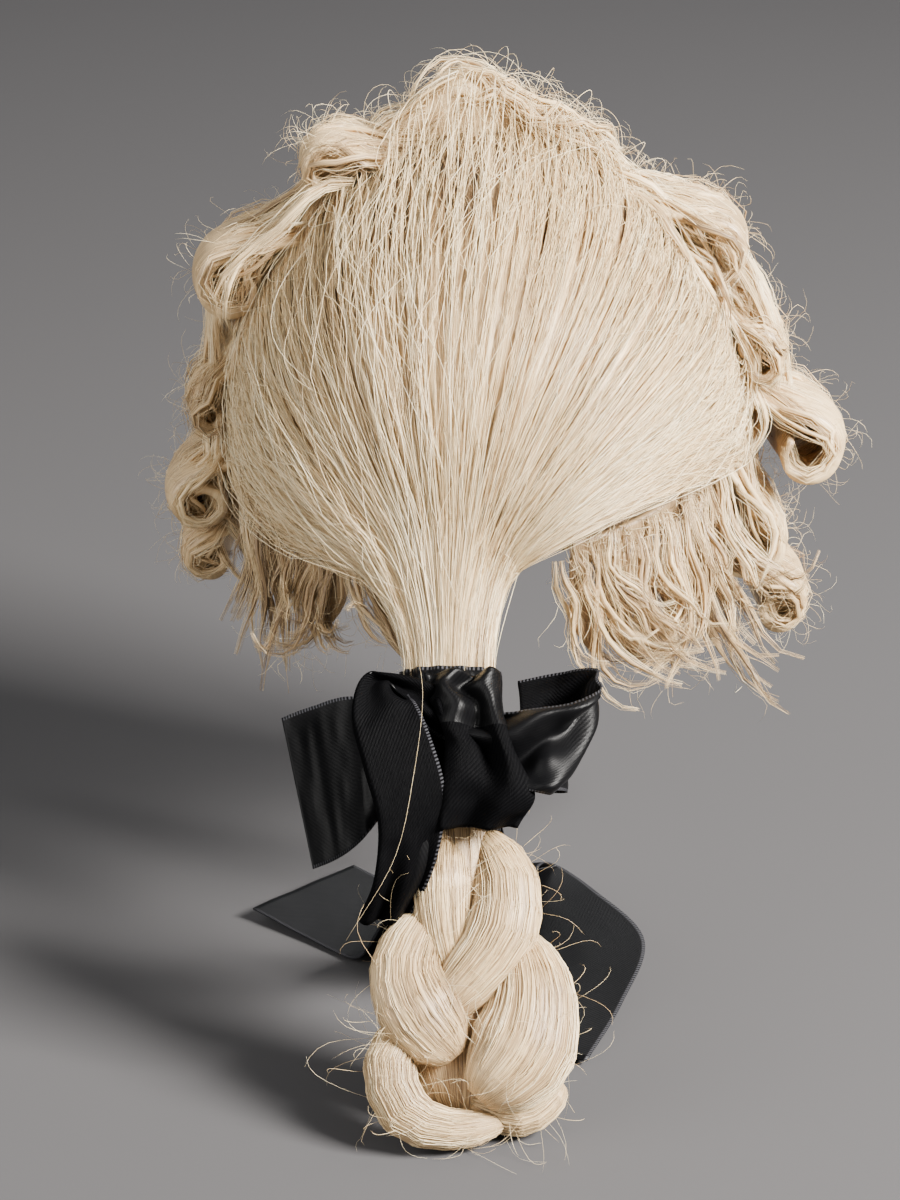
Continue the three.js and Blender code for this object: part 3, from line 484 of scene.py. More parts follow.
# The plait's strands as in the frame: across, out, half width and depth in shares of a strand's
# breadth, and down in shares of the plait's length
PLAIT_COLUMNS = "across down out half deep"
PLAIT = {
    "core": table(PLAIT_COLUMNS, [
        (0, 0, 0, 0.42, 0.3),
        (0.05, 0.28, -0.02, 0.42, 0.3),
        (0.1, 0.55, -0.1, 0.5, 0.32),
        (0.16, 0.8, -0.12, 0.72, 0.34),
        (0.14, 0.94, -0.08, 0.56, 0.24),
    ]),
    "upper_left": table(PLAIT_COLUMNS, [
        (-0.06, 0.2, 0.06, 0.24, 0.2),
        (-0.08, 0.32, 0.16, 0.32, 0.24),
        (-0.04, 0.48, 0.14, 0.26, 0.2),
        (0.1, 0.62, 0.02, 0.16, 0.14),
    ]),
    "upper_right": table(PLAIT_COLUMNS, [
        (0.3, 0.2, 0.02, 0.18, 0.18),
        (0.54, 0.32, 0.14, 0.32, 0.28),
        (0.5, 0.47, 0.22, 0.36, 0.3),
        (0.14, 0.6, 0.24, 0.3, 0.24),
        (-0.2, 0.68, 0.08, 0.2, 0.16),
    ]),
    "middle_left": table(PLAIT_COLUMNS, [
        (-0.2, 0.4, 0.0, 0.2, 0.2),
        (-0.42, 0.56, 0.2, 0.34, 0.28),
        (-0.26, 0.68, 0.3, 0.42, 0.3),
        (0.06, 0.78, 0.22, 0.32, 0.24),
    ]),
    "lower_right": table(PLAIT_COLUMNS, [
        (0.68, 0.46, 0.0, 0.22, 0.22),
        (0.8, 0.62, 0.16, 0.42, 0.36),
        (0.68, 0.77, 0.26, 0.54, 0.4),
        (0.28, 0.89, 0.22, 0.36, 0.28),
    ]),
    "bottom_left": table(PLAIT_COLUMNS, [
        (-0.38, 0.68, 0.06, 0.24, 0.22),
        (-0.58, 0.82, 0.2, 0.26, 0.26),
        (-0.4, 0.93, 0.24, 0.26, 0.24),
        (0.02, 0.965, 0.18, 0.2, 0.2),
        (0.5, 0.945, 0.08, 0.17, 0.16),
    ]),
    "tucked_end": table(PLAIT_COLUMNS, [
        (0.2, 0.88, -0.1, 0.22, 0.26),
        (0.7, 0.91, -0.04, 0.26, 0.3),
        (1.08, 0.84, 0, 0.2, 0.22),
    ]),
}


def plait_form(rows):
    column = {key: np.array([row[key] for row in rows], float) for key in rows[0]}
    across, out = column["across"] * BRAID_BREADTH, column["out"] * BRAID_BREADTH
    path = on_queue(across, TAIL_IN_WRAP + column["down"] * BRAID_LENGTH, out)

    def width(t):
        return BRAID_BREADTH * along_rows(column["half"], t)

    def depth(t):
        return BRAID_BREADTH * along_rows(column["deep"], t)

    return tube_form(path, QUEUE_OUT, width, depth)


# Parts of a mesh

HAIR, TAN, SATIN, TWILL, NET = "pale hair", "tan roots", "black satin", "satin reverse", "cap net"
MATERIALS = {}


def grid_faces(rows, columns, wrap=False):
    """Corners of a grid's faces, where point (i, j) has the number i * columns + j."""
    last = rows if wrap else rows - 1
    i, j = [axis.ravel() for axis in np.meshgrid(np.arange(last), np.arange(columns - 1), indexing="ij")]
    k = (i + 1) % rows
    quads = np.stack([i * columns + j, k * columns + j, k * columns + j + 1, i * columns + j + 1], axis=1)
    left, right, low, high = i / last, (i + 1) / last, j / (columns - 1), (j + 1) / (columns - 1)
    bake = np.stack([left, low, right, low, right, high, left, high], axis=1).reshape(-1, 4, 2)
    return quads, bake


def boxed(bake, low, high):
    """Squeezes places on the bake's map into the upright strip from low to high."""
    return bake * [(high - low) * 0.98, 0.98] + [low + (high - low) * 0.01, 0.01]


def part(points, uv, tint, quads, bake, tris=None, tri_bake=None):
    if tris is None:
        tris, tri_bake = np.zeros((0, 3), int), np.zeros((0, 3, 2))
    tint = np.broadcast_to(tint, points.shape[:-1]).reshape(-1)
    return dict(
        points=points.reshape(-1, 3),
        uv=uv.reshape(-1, 2),
        tint=tint,
        quads=quads,
        bake=bake,
        tris=tris,
        tri_bake=tri_bake,
        looks=HAIR,
    )


def sheet_part(outer, inner, uv, tint, flip=False, looks=None):
    """A closed sheet between two grids of points of the same size, with a look for each side."""
    rows, columns = outer.shape[:2]
    top, bake = grid_faces(rows, columns)
    count = rows * columns
    i, j = np.arange(rows - 1), np.arange(columns - 1)
    near, far = i * columns, (rows - 1) * columns
    end, next_end = near + columns - 1, near + 2 * columns - 1
    rim = np.concatenate([
        np.stack([near, near + count, near + count + columns, near + columns], axis=1),
        np.stack([end, next_end, next_end + count, end + count], axis=1),
        np.stack([j, j + 1, j + 1 + count, j + count], axis=1),
        np.stack([far + j, far + j + count, far + j + 1 + count, far + j + 1], axis=1),
    ])
    low = np.arange(len(rim)) / len(rim)
    high = low + 1 / len(rim)
    left, right = 0 * low, 0 * low + 1
    rim_bake = np.stack([left, low, right, low, right, high, left, high], axis=1).reshape(-1, 4, 2)
    quads = np.concatenate([top, top[:, ::-1] + count, rim])
    places = [boxed(bake, 0, 0.55), boxed(bake[:, ::-1], 0.55, 0.95), boxed(rim_bake, 0.95, 1)]
    places = np.concatenate(places)
    if flip:
        quads, places = quads[:, ::-1], places[:, ::-1]
    made = part(np.stack([outer, inner]), np.stack([uv, uv]), tint, quads, places)
    if looks:
        made["looks"] = [looks[0]] * len(top) + [looks[1]] * (len(top) + len(rim))
    return made


def round_sheet(outer, inner, uv, look, flip=False):
    """A closed sheet between two grids of points that run all the way round, with a rim at each end."""
    rows, columns = outer.shape[:2]
    quads, bake = grid_faces(rows, columns, wrap=True)
    count = rows * columns
    near = np.arange(rows) * columns
    far = np.roll(near, -1)
    first = np.stack([near, near + count, far + count, far], axis=1)
    last = np.stack([near, far, far + count, near + count], axis=1) + columns - 1
    faces = np.concatenate([quads, quads[:, ::-1] + count, first, last])
    rim = np.array([[0.96, 0.0], [0.99, 0.0], [0.99, 0.1], [0.96, 0.1]])
    rims = np.broadcast_to(rim, (2 * rows, 4, 2))
    places = np.concatenate([boxed(bake, 0, 0.5), boxed(bake[:, ::-1], 0.5, 0.95), rims])
    if flip:
        faces, places = faces[:, ::-1], places[:, ::-1]
    made = part(np.stack([outer, inner]), np.stack([uv, uv]), 0.5, faces, places)
    made["looks"] = look
    return made


def tube_part(rings, uv, tint, flip=False):
    """A closed tube through rings of points: the first axis goes round it, the second along."""
    rows, columns = rings.shape[:2]
    quads, bake = grid_faces(rows, columns, wrap=True)
    first, last = rings[:, 0].mean(axis=0), rings[:, -1].mean(axis=0)
    points = np.concatenate([rings.reshape(-1, 3), [first, last]])
    i = np.arange(rows)
    k = (i + 1) % rows
    start = np.stack([k * columns, i * columns, np.full(rows, rows * columns)], axis=1)
    end = np.stack([i, k], axis=1) * columns + columns - 1
    end = np.concatenate([end, np.full((rows, 1), rows * columns + 1)], axis=1)
    tris = np.concatenate([start, end])
    fan = np.array([[0.96, 0.02], [0.99, 0.02], [0.98, 0.05]])
    tri_bake = np.broadcast_to(fan, (len(tris), 3, 2))
    uv = np.concatenate([uv.reshape(-1, 2), uv[0, :1], uv[0, -1:]])
    tint = np.append(np.broadcast_to(tint, rings.shape[:2]).reshape(-1), [0.4, 0.4])
    bake = boxed(bake, 0, 0.95)
    if flip:
        quads, bake, tris = quads[:, ::-1], bake[:, ::-1], tris[:, ::-1]
    return part(points, uv, tint, quads, bake, tris, tri_bake)


def strand_part(paths, radius, facing, tint, sides=3):
    """Closed strands with a few sides along many paths with the same number of points."""
    count, steps = paths.shape[:2]
    heading = unit(np.gradient(paths, axis=1))
    facing = np.broadcast_to(facing, paths.shape)
    out = unit(facing - heading * np.sum(heading * facing, axis=-1, keepdims=True))
    side = np.cross(out, heading)
    points = []
    for angle in np.pi / 2 + 2 * np.pi * np.arange(sides) / sides:
        points.append(paths + radius[..., None] * (side * math.cos(angle) + out * math.sin(angle)))
    points = np.stack(points, axis=2)
    places = np.meshgrid(np.arange(count), np.arange(steps - 1), np.arange(sides), indexing="ij")
    k, j, i = [axis.ravel() for axis in places]
    here, there = (k * steps + j) * sides + i, (k * steps + j) * sides + (i + 1) % sides
    quads = np.stack([here, there, there + sides, here + sides], axis=1)
    cells = math.ceil(math.sqrt(count / 8))
    rows = math.ceil(count / (8 * cells))
    column, row = k % (8 * cells), k // (8 * cells)
    left, right = (column + 0.1) / (8 * cells), (column + 0.9) / (8 * cells)
    low = (row + 0.02 + 0.96 * j / (steps - 1)) / rows
    high = (row + 0.02 + 0.96 * (j + 1) / (steps - 1)) / rows
    bake = np.stack([left, low, right, low, right, high, left, high], axis=1).reshape(-1, 4, 2)
    corner = np.arange(1, sides - 1)
    roots = np.arange(count) * steps * sides
    tips = roots + (steps - 1) * sides
    root_fan = np.stack([0 * corner, corner + 1, corner], axis=1)
    tip_fan = np.stack([0 * corner, corner, corner + 1], axis=1)
    tris = np.concatenate([roots[:, None, None] + root_fan, tips[:, None, None] + tip_fan]).reshape(-1, 3)
    root_quads = np.arange(count) * (steps - 1) * sides
    tip_quads = root_quads + (steps - 2) * sides
    ends = [bake[root_quads][:, [0, 1, 2]], bake[tip_quads][:, [1, 2, 3]]]
    tri_bake = np.repeat(np.concatenate(ends), sides - 2, axis=0)
    run = np.cumsum(np.linalg.norm(np.diff(paths, axis=1, prepend=paths[:, :1]), axis=-1), axis=1)
    face_width = max(0.3, 2 * np.pi * float(radius.mean()) / sides)
    across = np.arange(count)[:, None, None] * 7.3 + np.arange(sides) * face_width
    uv = np.stack(np.broadcast_arrays(across, run[..., None]), axis=-1)
    return part(points, uv, np.broadcast_to(tint[:, None, None], uv.shape[:-1]), quads, bake, tris, tri_bake)


def make_piece(name, parts, replaces=()):
    """Joins parts into one mesh that rides on the wig."""
    weights = np.array([len(p["quads"]) for p in parts], float)
    edges = np.concatenate([[0], np.cumsum(weights) / weights.sum()])
    starts = np.cumsum([0] + [len(p["points"]) for p in parts])
    quads = np.concatenate([p["quads"] + start for p, start in zip(parts, starts)])
    tris = np.concatenate([p["tris"] + start for p, start in zip(parts, starts)])
    spans = list(zip(edges[:-1], edges[1:]))
    quad_bake = np.concatenate([boxed(p["bake"], *span) for p, span in zip(parts, spans)])
    tri_bake = np.concatenate([boxed(p["tri_bake"], *span) for p, span in zip(parts, spans)])
    loops = np.concatenate([quads.ravel(), tris.ravel()]).astype(np.int32)
    bake = np.concatenate([quad_bake.reshape(-1, 2), tri_bake.reshape(-1, 2)])
    first = np.concatenate([np.arange(len(quads)) * 4, len(quads) * 4 + np.arange(len(tris)) * 3])
    points = np.concatenate([p["points"] for p in parts]) * MM
    uv = np.concatenate([p["uv"] for p in parts])[loops]
    tint = np.concatenate([p["tint"] for p in parts])

    mesh = bpy.data.meshes.new(name)
    mesh.vertices.add(len(points))
    mesh.vertices.foreach_set("co", points.astype(np.float32).ravel())
    mesh.loops.add(len(loops))
    mesh.loops.foreach_set("vertex_index", loops)
    mesh.polygons.add(len(first))
    mesh.polygons.foreach_set("loop_start", first.astype(np.int32))
    mesh.update(calc_edges=True)
    mesh.polygons.foreach_set("use_smooth", np.ones(len(first), bool))
    mesh.uv_layers.new(name="Strand").data.foreach_set("uv", uv.astype(np.float32).ravel())
    mesh.uv_layers.new(name="OFBake").data.foreach_set("uv", bake.astype(np.float32).ravel())
    mesh.attributes.new("tint", "FLOAT", "POINT").data.foreach_set("value", tint.astype(np.float32))
    looks = []
    for p in parts:
        looks.append(p["looks"] if isinstance(p["looks"], list) else [p["looks"]] * len(p["quads"]))
    for p in parts:
        looks.append([p["looks"][-1] if isinstance(p["looks"], list) else p["looks"]] * len(p["tris"]))
    looks = [look for row in looks for look in row]
    used = sorted(set(looks))
    for look in used:
        mesh.materials.append(MATERIALS[look])
    if len(used) > 1:
        mesh.polygons.foreach_set("material_index", np.array([used.index(look) for look in looks], np.int32))
    piece = bpy.data.objects.new(name, mesh)
    bpy.context.scene.collection.objects.link(piece)
    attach(piece, "root")
    if replaces:
        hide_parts(*replaces)
    return piece


def lifted(form, u, v, height, outward=1):
    """Points over a form, moved off it by a height."""
    step = 2e-3
    across = form(u + step, v) - form(u - step, v)
    along = form(u, v + step) - form(u, v - step)
    normal = unit(np.cross(across, along)) * outward
    return form(u, v) + normal * height[..., None], normal


# Hair


def strand_radius(rng, count, steps, thick, root=0.8, tip=0.35):
    share = np.linspace(0, 1, steps)
    profile = lerp(root, 1, smooth(share, 0, 0.15)) * lerp(1, tip, smooth(share, 0.7, 1))
    return rng.uniform(*thick, (count, 1)) * profile


def spaced(rng, count):
    """Random places from 0 to 1, one in each of so many even cells."""
    return (np.arange(count)[:, None] + rng.uniform(0, 1, (count, 1))) / count


def settled(paths, times=2):
    """Softens the corners of paths and keeps their ends."""
    for _ in range(times):
        middle = (paths[:, :-2] + 2 * paths[:, 1:-1] + paths[:, 2:]) / 4
        paths = np.concatenate([paths[:, :1], middle, paths[:, -1:]], axis=1)
    return paths


def waved(rng, centres, facing, size, waves, phase=None):
    """Centre lines with soft waves that grow from their roots."""
    count, steps = centres.shape[:2]
    facing = unit(np.broadcast_to(facing, centres.shape))
    side = unit(np.cross(facing, unit(np.gradient(centres, axis=1))))
    share = np.linspace(0, 1, steps)
    if phase is None:
        phase = rng.uniform(0, 1, (count, 1))
    turn = 2 * np.pi * (waves * rng.uniform(0.85, 1.15, (count, 1)) * share + phase)
    grown = size * smooth(share, 0, 0.35)
    sway, rise = (grown * np.sin(turn))[..., None], (0.5 * grown * np.cos(turn))[..., None]
    return centres + side * sway + facing * rise


FINE = (0.03, 0.06)  # least and greatest radius of the finest loose hairs


def fluff(rng, form, count, length, u_range, v_range, outward=1, steps=6, thick=(0.06, 0.12), curl=0.35):
    """Short loose hairs that stand off a form and bend over, and lie down where they meet the floor."""
    u, v = rng.uniform(*u_range, (count, 1)), rng.uniform(*v_range, (count, 1))
    root, normal = lifted(form, u, v, np.zeros((count, 1)), outward)
    aside = unit(np.cross(normal, rng.normal(size=normal.shape)))
    size = rng.uniform(*length, (count, 1, 1))
    share = np.linspace(0, 1, steps)[None, :, None]
    bend = aside * share * rng.uniform(0.5, 1.1, (count, 1, 1)) + normal * 0.6 * np.sin(np.pi * 0.6 * share)
    turn = unit(np.cross(normal, aside)) * np.sin(2 * np.pi * share * rng.uniform(0.2, 0.9, (count, 1, 1)))
    paths = root - normal * 0.8 + size * (bend + curl * turn * share)
    paths[..., 2] = np.maximum(paths[..., 2], 0.4 - REST_DROP)
    radius = strand_radius(rng, count, steps, thick)
    return strand_part(paths, radius, normal, rng.uniform(0.45, 1, count))


def wisps(rng, centres, facing, spread, each, thick=(0.1, 0.2), tint=0.6, flat=0.6, ragged=0.15):
    """Locks along centre lines: a soft core in each and strands round it, spread so far. The core and the
    strands inside each lock are painted darker, as painted shade inside the lock.
    """
    count, steps = centres.shape[:2]
    heading = unit(np.gradient(centres, axis=1))
    facing = np.broadcast_to(facing, centres.shape)
    out = unit(facing - heading * np.sum(heading * facing, axis=-1, keepdims=True))
    side = np.cross(out, heading)
    share = np.linspace(0, 1, steps)
    turn = rng.uniform(0, 2 * np.pi, (count, each, 1)) + rng.normal(0, 0.5, (count, 1, 1)) * 3 * share
    reach = np.sqrt(rng.uniform(0.1, 1, (count, each, 1)))
    outer = np.clip(0.5 + 0.5 * np.sin(turn[..., :1]), 0, 1)[..., 0] * reach[..., 0]
    reach = reach * spread[:, None]
    reach = reach * (1 + ragged * wander(rng, count * each, steps, 1.5).reshape(count, each, steps))
    across, up = (reach * np.cos(turn))[..., None], (reach * np.sin(turn) * flat)[..., None]
    paths = centres[:, None] + side[:, None] * across + out[:, None] * up
    stray = wander(rng, count * each, steps, 1.1).reshape(count, each, steps, 1)
    paths = paths + stray * rng.normal(0, 0.35, (count, each, 1, 3)) * (0.3 + share[:, None])
    paths = paths.reshape(count * each, steps, 3)
    outs = np.broadcast_to(out[:, None], (count, each, steps, 3)).reshape(paths.shape)
    lock_tint = rng.normal(tint, 0.11, count)
    # Painted shade: strands towards the lock's outer face are lighter, those inside it darker
    tints = np.repeat(lock_tint, each) + 0.45 * (outer.reshape(-1) - 0.4) + rng.normal(0, 0.13, count * each)
    strands = strand_part(paths, strand_radius(rng, count * each, steps, thick), outs, np.clip(tints, 0, 1))
    core = 0.26 * spread * lerp(0.3, 1, smooth(share, 0, 0.2)) * lerp(1, 0.15, smooth(share, 0.6, 1))
    # Painted shade: the core is painted 0.2 darker than its lock
    return [strand_part(centres, core, out, np.clip(lock_tint - 0.2, 0, 1), sides=5), strands]


def back_relief(u, v):
    """Relief of the combed hair: soft broad locks and fine ones, smaller towards the tie."""
    fade = lerp(1, 0.4, smooth(v, 0.35, 0.85)) * smooth(v, 0, 0.12)
    broad = 0.8 * noise(u * 26 + 0.8 * noise(u * 5, v * 3, 3), v * 2.5, 1)
    fine = 0.5 * noise(u * 85, v * 4, 2)
    return (broad + fine) * fade


BACK_LOCKS = 190  # thin locks that the combed hair draws into
# Layers of combed strands: their heights over the surface, how wide their locks are at the roots and
# below, how far they wander, where they start, how long they run and which part of the back they cover
# tint: lower for the layers that lie lower, a painted shade under the upper strands
COMBED = {
    "under": dict(
        count=3300, steps=8, heights=(0, 0.9), thick=(0.1, 0.17), locks=(0.5, 1.05), loose=0.0016,
        starts=(-0.25, 0.68), spans=(0.3, 0.45), tint=0.54, across=(0, 1),
    ),
    "upper": dict(
        count=1150, steps=9, heights=(0.8, 1.8), thick=(0.07, 0.14), locks=(0.4, 1.1), loose=0.006,
        starts=(-0.25, 0.55), spans=(0.3, 0.48), tint=0.7, across=(0, 1),
    ),
    "loose": dict(
        count=360, steps=9, heights=(0.8, 3.6), thick=(0.07, 0.13), locks=(0.5, 1), loose=0.025,
        starts=(-0.1, 0.5), spans=(0.25, 0.42), tint=0.75, across=(0, 1),
    ),
    "left_edge": dict(
        count=230, steps=9, heights=(1, 6), thick=(0.08, 0.15), locks=(0.5, 1), loose=0.04,
        starts=(0, 0.55), spans=(0.25, 0.45), tint=0.68, across=(0, 0.2),
    ),
    "right_edge": dict(
        count=150, steps=9, heights=(1, 5), thick=(0.08, 0.15), locks=(0.5, 1), loose=0.03,
        starts=(0, 0.5), spans=(0.25, 0.4), tint=0.7, across=(0.82, 1),
    ),
}


def combed(rng, layer):
    """Strands combed down the back hair in thin locks, whose widths grow from the roots down."""
    count, steps = layer["count"], layer["steps"]
    share = np.linspace(0, 1, steps)
    first = np.maximum(rng.uniform(*layer["starts"], (count, 1)), rng.uniform(0, 0.03, (count, 1)))
    last = np.minimum(first + rng.uniform(*layer["spans"], (count, 1)), rng.uniform(0.94, 0.99, (count, 1)))
    v = lerp(first, last, share)
    low, high = layer["across"]
    lock = rng.integers(round(low * BACK_LOCKS), round(high * BACK_LOCKS), (count, 1))
    place = rng.uniform(-0.5, 0.5, (count, 1)) * lerp(*layer["locks"], smooth(v, 0.06, 0.45))
    roam = 1.6 * noise(lock * 37.31, v * 2.6, 21) * (1 - smooth(v, 0.4, 0.75))
    course = wander(rng, count, steps, 0.8)
    drift = layer["loose"] * (course + rng.normal(0, 0.9, (count, 1)) * (share - 0.5))
    u = np.clip((lock + 0.5 + place + roam) / BACK_LOCKS + drift, 0.001, 0.999)
    depth = rng.uniform(0, 1, (count, 1))
    height = lerp(*layer["heights"], depth) + 0.25 * wander(rng, count, steps, 1.1)
    height = height * lerp(1, 0.4, smooth(v, 0.45, 0.86)) + back_relief(u, v)
    height = height - 1.3 * (2 * share - 1) ** 8
    paths, normal = lifted(back_hair_top, u, v, height, -1)
    radius = strand_radius(rng, count, steps, layer["thick"]) * lerp(1, 0.68, smooth(v, 0.3, 0.9))
    lock_tints = rng.normal(0, 0.1, BACK_LOCKS)[lock[:, 0]]
    # Painted shade: strands that lie lower in their layer are darker, those on top lighter
    tints = layer["tint"] + 0.35 * (depth[:, 0] - 0.5) + lock_tints + rng.normal(0, 0.17, count)
    return strand_part(paths, radius, normal, np.clip(tints, 0, 1))


def over_parting(rng, count, steps):
    """Strands that leave the front hair's ridge, cross the parting and lie down on the back hair."""
    share = np.linspace(0, 1, steps)
    spread = rng.uniform(-0.97, 0.97, (count, 1)) * FRONT_EDGE_ANGLE
    spread = spread + math.radians(5) * wander(rng, count, steps, 0.7) * share
    ridge = FRONT_HAIR_RIDGE * from_table(RIDGE, "spread", "height", np.degrees(spread))
    climb = rng.uniform(0.05, 1.08, (count, 1))
    reach = np.where(climb > 0.75, rng.uniform(0.06, 0.34, (count, 1)), 0.03)
    top = BACK_HAIR_TOP - 1.4
    height = lerp(top, ridge, climb) + 0.6 * wander(rng, count, steps, 1)
    lean = ROOT_LEAN + reach * (1 - np.clip(share / 0.3, 0, 1))
    front = over_head(spread, lean, height)
    behind = np.clip((share - 0.3) / 0.7, 0, 1) * rng.uniform(0.14, 0.44, (count, 1))
    above = (height - top) * (1 - smooth(behind, 0, rng.uniform(0.1, 0.24, (count, 1))))
    above = above + rng.uniform(0.2, 2.4, (count, 1)) * smooth(behind, 0, 0.08)
    back, normal = lifted(back_hair_top, np.clip((spread / EDGE_ANGLE + 1) / 2, 0, 1), behind, above, -1)
    paths = settled(np.where((share < 0.3)[None, :, None], front, back), 1)
    radius = strand_radius(rng, count, steps, (0.09, 0.17))
    # Painted shade: strands that start low on the ridge's back, down by the parting, are darker
    tints = np.clip(0.42 + 0.35 * climb[:, 0] + rng.normal(0, 0.14, count), 0, 1)
    return strand_part(paths, radius, normal, tints)


def back_hair():
    rng = np.random.default_rng(11)
    rows, columns = 200, 30
    u, v = np.meshgrid(np.linspace(0, 1, rows), np.linspace(0, 1, columns), indexing="ij")
    relief = back_relief(u, v)
    outer, _ = lifted(back_hair_top, u, v, relief - lerp(0.95, 0.5, smooth(v, 0.5, 0.85)), -1)
    inner = back_hair_under(u, v)
    uv = np.stack([u * 230, v * 290], axis=-1)
    # Painted shade: the base is dark at the roots and lighter lower down, and darker in the dips of its
    # relief, so that the gaps between the strands read as shade; its underside is painted at 0.7 of that
    tint = lerp(0.08, 0.5, smooth(v, 0.12, 0.5)) + 0.1 * relief
    base = sheet_part(outer, inner, uv, np.stack([tint, tint * 0.7]))
    make_piece("back_hair_locks", [base], ["back_hair"])
    make_piece("back_hair_strands", [combed(rng, COMBED["under"])])
    above = [combed(rng, COMBED[name]) for name in ("upper", "loose", "left_edge", "right_edge")]
    make_piece("back_hair_loose_strands", [*above, over_parting(rng, 700, 11)])


def front_hair():
    rng = np.random.default_rng(23)
    rows, columns = 120, 24
    u, v = np.meshgrid(np.linspace(0, 1, rows), np.linspace(0, 1, columns), indexing="ij")
    relief = 1.3 * noise(u * 22 + noise(u * 6, v * 5, 7), v * 4, 6) + 0.5 * noise(u * 50, v * 9, 8)
    relief = relief * smooth(v, 0, 0.1)
    outer, _ = lifted(front_hair_top, u, v, relief - 1.4, 1)
    uv = np.stack([u * 260, v * 110], axis=-1)
    # Painted shade: the base is lighter where its relief stands out and darker in its dips, and its
    # underside is painted at 0.7 of its top
    tint = 0.34 + 0.08 * relief
    base = sheet_part(outer, front_hair_under(u, v), uv, np.stack([tint, tint * 0.7]), flip=True)

    count, steps = 24, 10
    share = np.linspace(0, 1, steps)
    v = lerp(rng.uniform(0.25, 0.4, (count, 1)), rng.uniform(0.85, 1.02, (count, 1)), share)
    u = lerp(0.01, 0.99, spaced(rng, count))
    u = u + 0.012 * wander(rng, count, steps, 1.6)
    height = 0.8 + 1.2 * wander(rng, count, steps, 2)
    centres, normal = lifted(front_hair_top, np.clip(u, 0, 1), v, height, 1)
    spread = 4.6 * np.ones((count, 1)) * lerp(1, 0.7, share)
    combed_over = wisps(rng, centres, normal, spread, 7)

    count, steps = 86, 10
    share = np.linspace(0, 1, steps)
    first = lerp(0.02, 0.98, spaced(rng, count))
    way = np.where(first + rng.normal(0, 0.1, first.shape) < 0.46, -1, 1)
    u = first + way * rng.uniform(0.05, 0.18, (count, 1)) * share
    v = lerp(rng.uniform(0.06, 0.3, (count, 1)), rng.uniform(0.12, 0.42, (count, 1)), share)
    height = rng.uniform(0.5, 4, (count, 1)) * np.sin(np.pi * share) + 0.8 * wander(rng, count, steps, 1)
    centres, normal = lifted(front_hair_top, np.clip(u, 0, 1), v, height, 1)
    centres = waved(rng, centres, normal, 2.0, 1.4)
    spread = rng.uniform(2.2, 4.4, (count, 1)) * (1 - 0.5 * share)
    swept = wisps(rng, centres, normal, spread, 8, thick=(0.08, 0.16), tint=0.66, ragged=0.45)
    loose = fluff(rng, front_hair_top, 720, (5, 16), (0.02, 0.98), (0.06, 0.5), 1, thick=FINE)
    make_piece("front_hair_locks", [base, *combed_over, *swept, loose], ["front_hair"])


# Where the outermost side locks lie: degrees round the head and height over it
OUTER_LOCK_COLUMNS = "spread height"
OUTER_LOCKS = {
    "left": table(OUTER_LOCK_COLUMNS, [(28, 22), (44, 25), (60, 33), (76, 27), (96, 29)]),
    "right": table(OUTER_LOCK_COLUMNS, [(32, 18), (50, 28), (66, 31), (80, 31), (96, 40)]),
}


def side_locks(name, side, seed):
    """Soft locks that fall along the back hair's edge, over the parting and past the curls."""
    rng = np.random.default_rng(seed)
    count, steps = 46, 10
    share = np.linspace(0, 1, steps)
    first = lerp(24, 92, spaced(rng, count))
    spread = side * np.radians(first + rng.uniform(16, 30, (count, 1)) * share)
    lean = rng.uniform(-0.1, 0.26, (count, 1)) - 0.08 * share + 0.02 * wander(rng, count, steps, 1)
    height = rng.uniform(10, 17, (count, 1)) + rng.uniform(2, 7, (count, 1)) * np.sin(np.pi * share)
    centres = over_head(spread, lean, height)
    out = over_head(spread, lean, height + 1) - centres
    centres = waved(rng, centres, out, 2.0, 1.2)
    wide = rng.uniform(3, 6, (count, 1)) * (0.5 + 0.5 * np.sin(np.pi * share))
    parts = wisps(rng, centres, out, wide, 10, thick=(0.07, 0.14), tint=0.62, ragged=0.45)

    count = 22
    rows = OUTER_LOCKS[name]
    first, last = rows[0]["spread"], rows[-1]["spread"]
    begin = rng.uniform(0, 0.45, (count, 1))
    angle = lerp(first, last, np.minimum(begin + rng.uniform(0.35, 0.6, (count, 1)) * share, 1))
    height = from_table(rows, "spread", "height", angle) - rng.uniform(0, 5, (count, 1))
    height = height - 5 * (2 * share - 1) ** 6
    lean = rng.uniform(-0.14, 0.22, (count, 1)) - 0.05 * share + 0.03 * wander(rng, count, steps, 1)
    spread = side * np.radians(angle)
    centres = over_head(spread, lean, height)
    out = over_head(spread, lean, height + 1) - centres
    centres = waved(rng, centres, out, 1.6, 1.0)
    wide = rng.uniform(3, 5.5, (count, 1)) * (0.45 + 0.55 * np.sin(np.pi * share))
    parts.extend(wisps(rng, centres, out, wide, 12, thick=(0.07, 0.14), tint=0.64, ragged=0.45))
    make_piece(f"side_locks_{name}", parts)


def end_cover(rng, form, count):
    """Loose locks over a roll's rear end, from its upper turn down across its middle."""
    steps = 9
    share = np.linspace(0, 1, steps)
    start, end = rng.uniform(0.05, 0.4, (count, 1)), rng.uniform(0.5, 0.95, (count, 1))
    ones = np.ones((count, 1))
    first = form(0.04 * ones, start, rng.uniform(-0.5, 0.8, (count, 1)))
    last = form(0.08 * ones, end, rng.uniform(-0.5, 0.8, (count, 1)))
    centres = lerp(first, last, share[None, :, None])
    centres[..., 1] -= rng.uniform(1.5, 5, (count, 1)) * np.sin(np.pi * share)
    centres = waved(rng, centres, points_of(0 * ones, -ones, 0 * ones), 1.2, 1.1)
    wide = rng.uniform(1.8, 3.4, (count, 1)) * (0.6 + 0.4 * np.sin(np.pi * share))
    return wisps(rng, centres, [0, -1, 0.3], wide, 6, thick=(0.08, 0.15), tint=0.56, ragged=0.5)


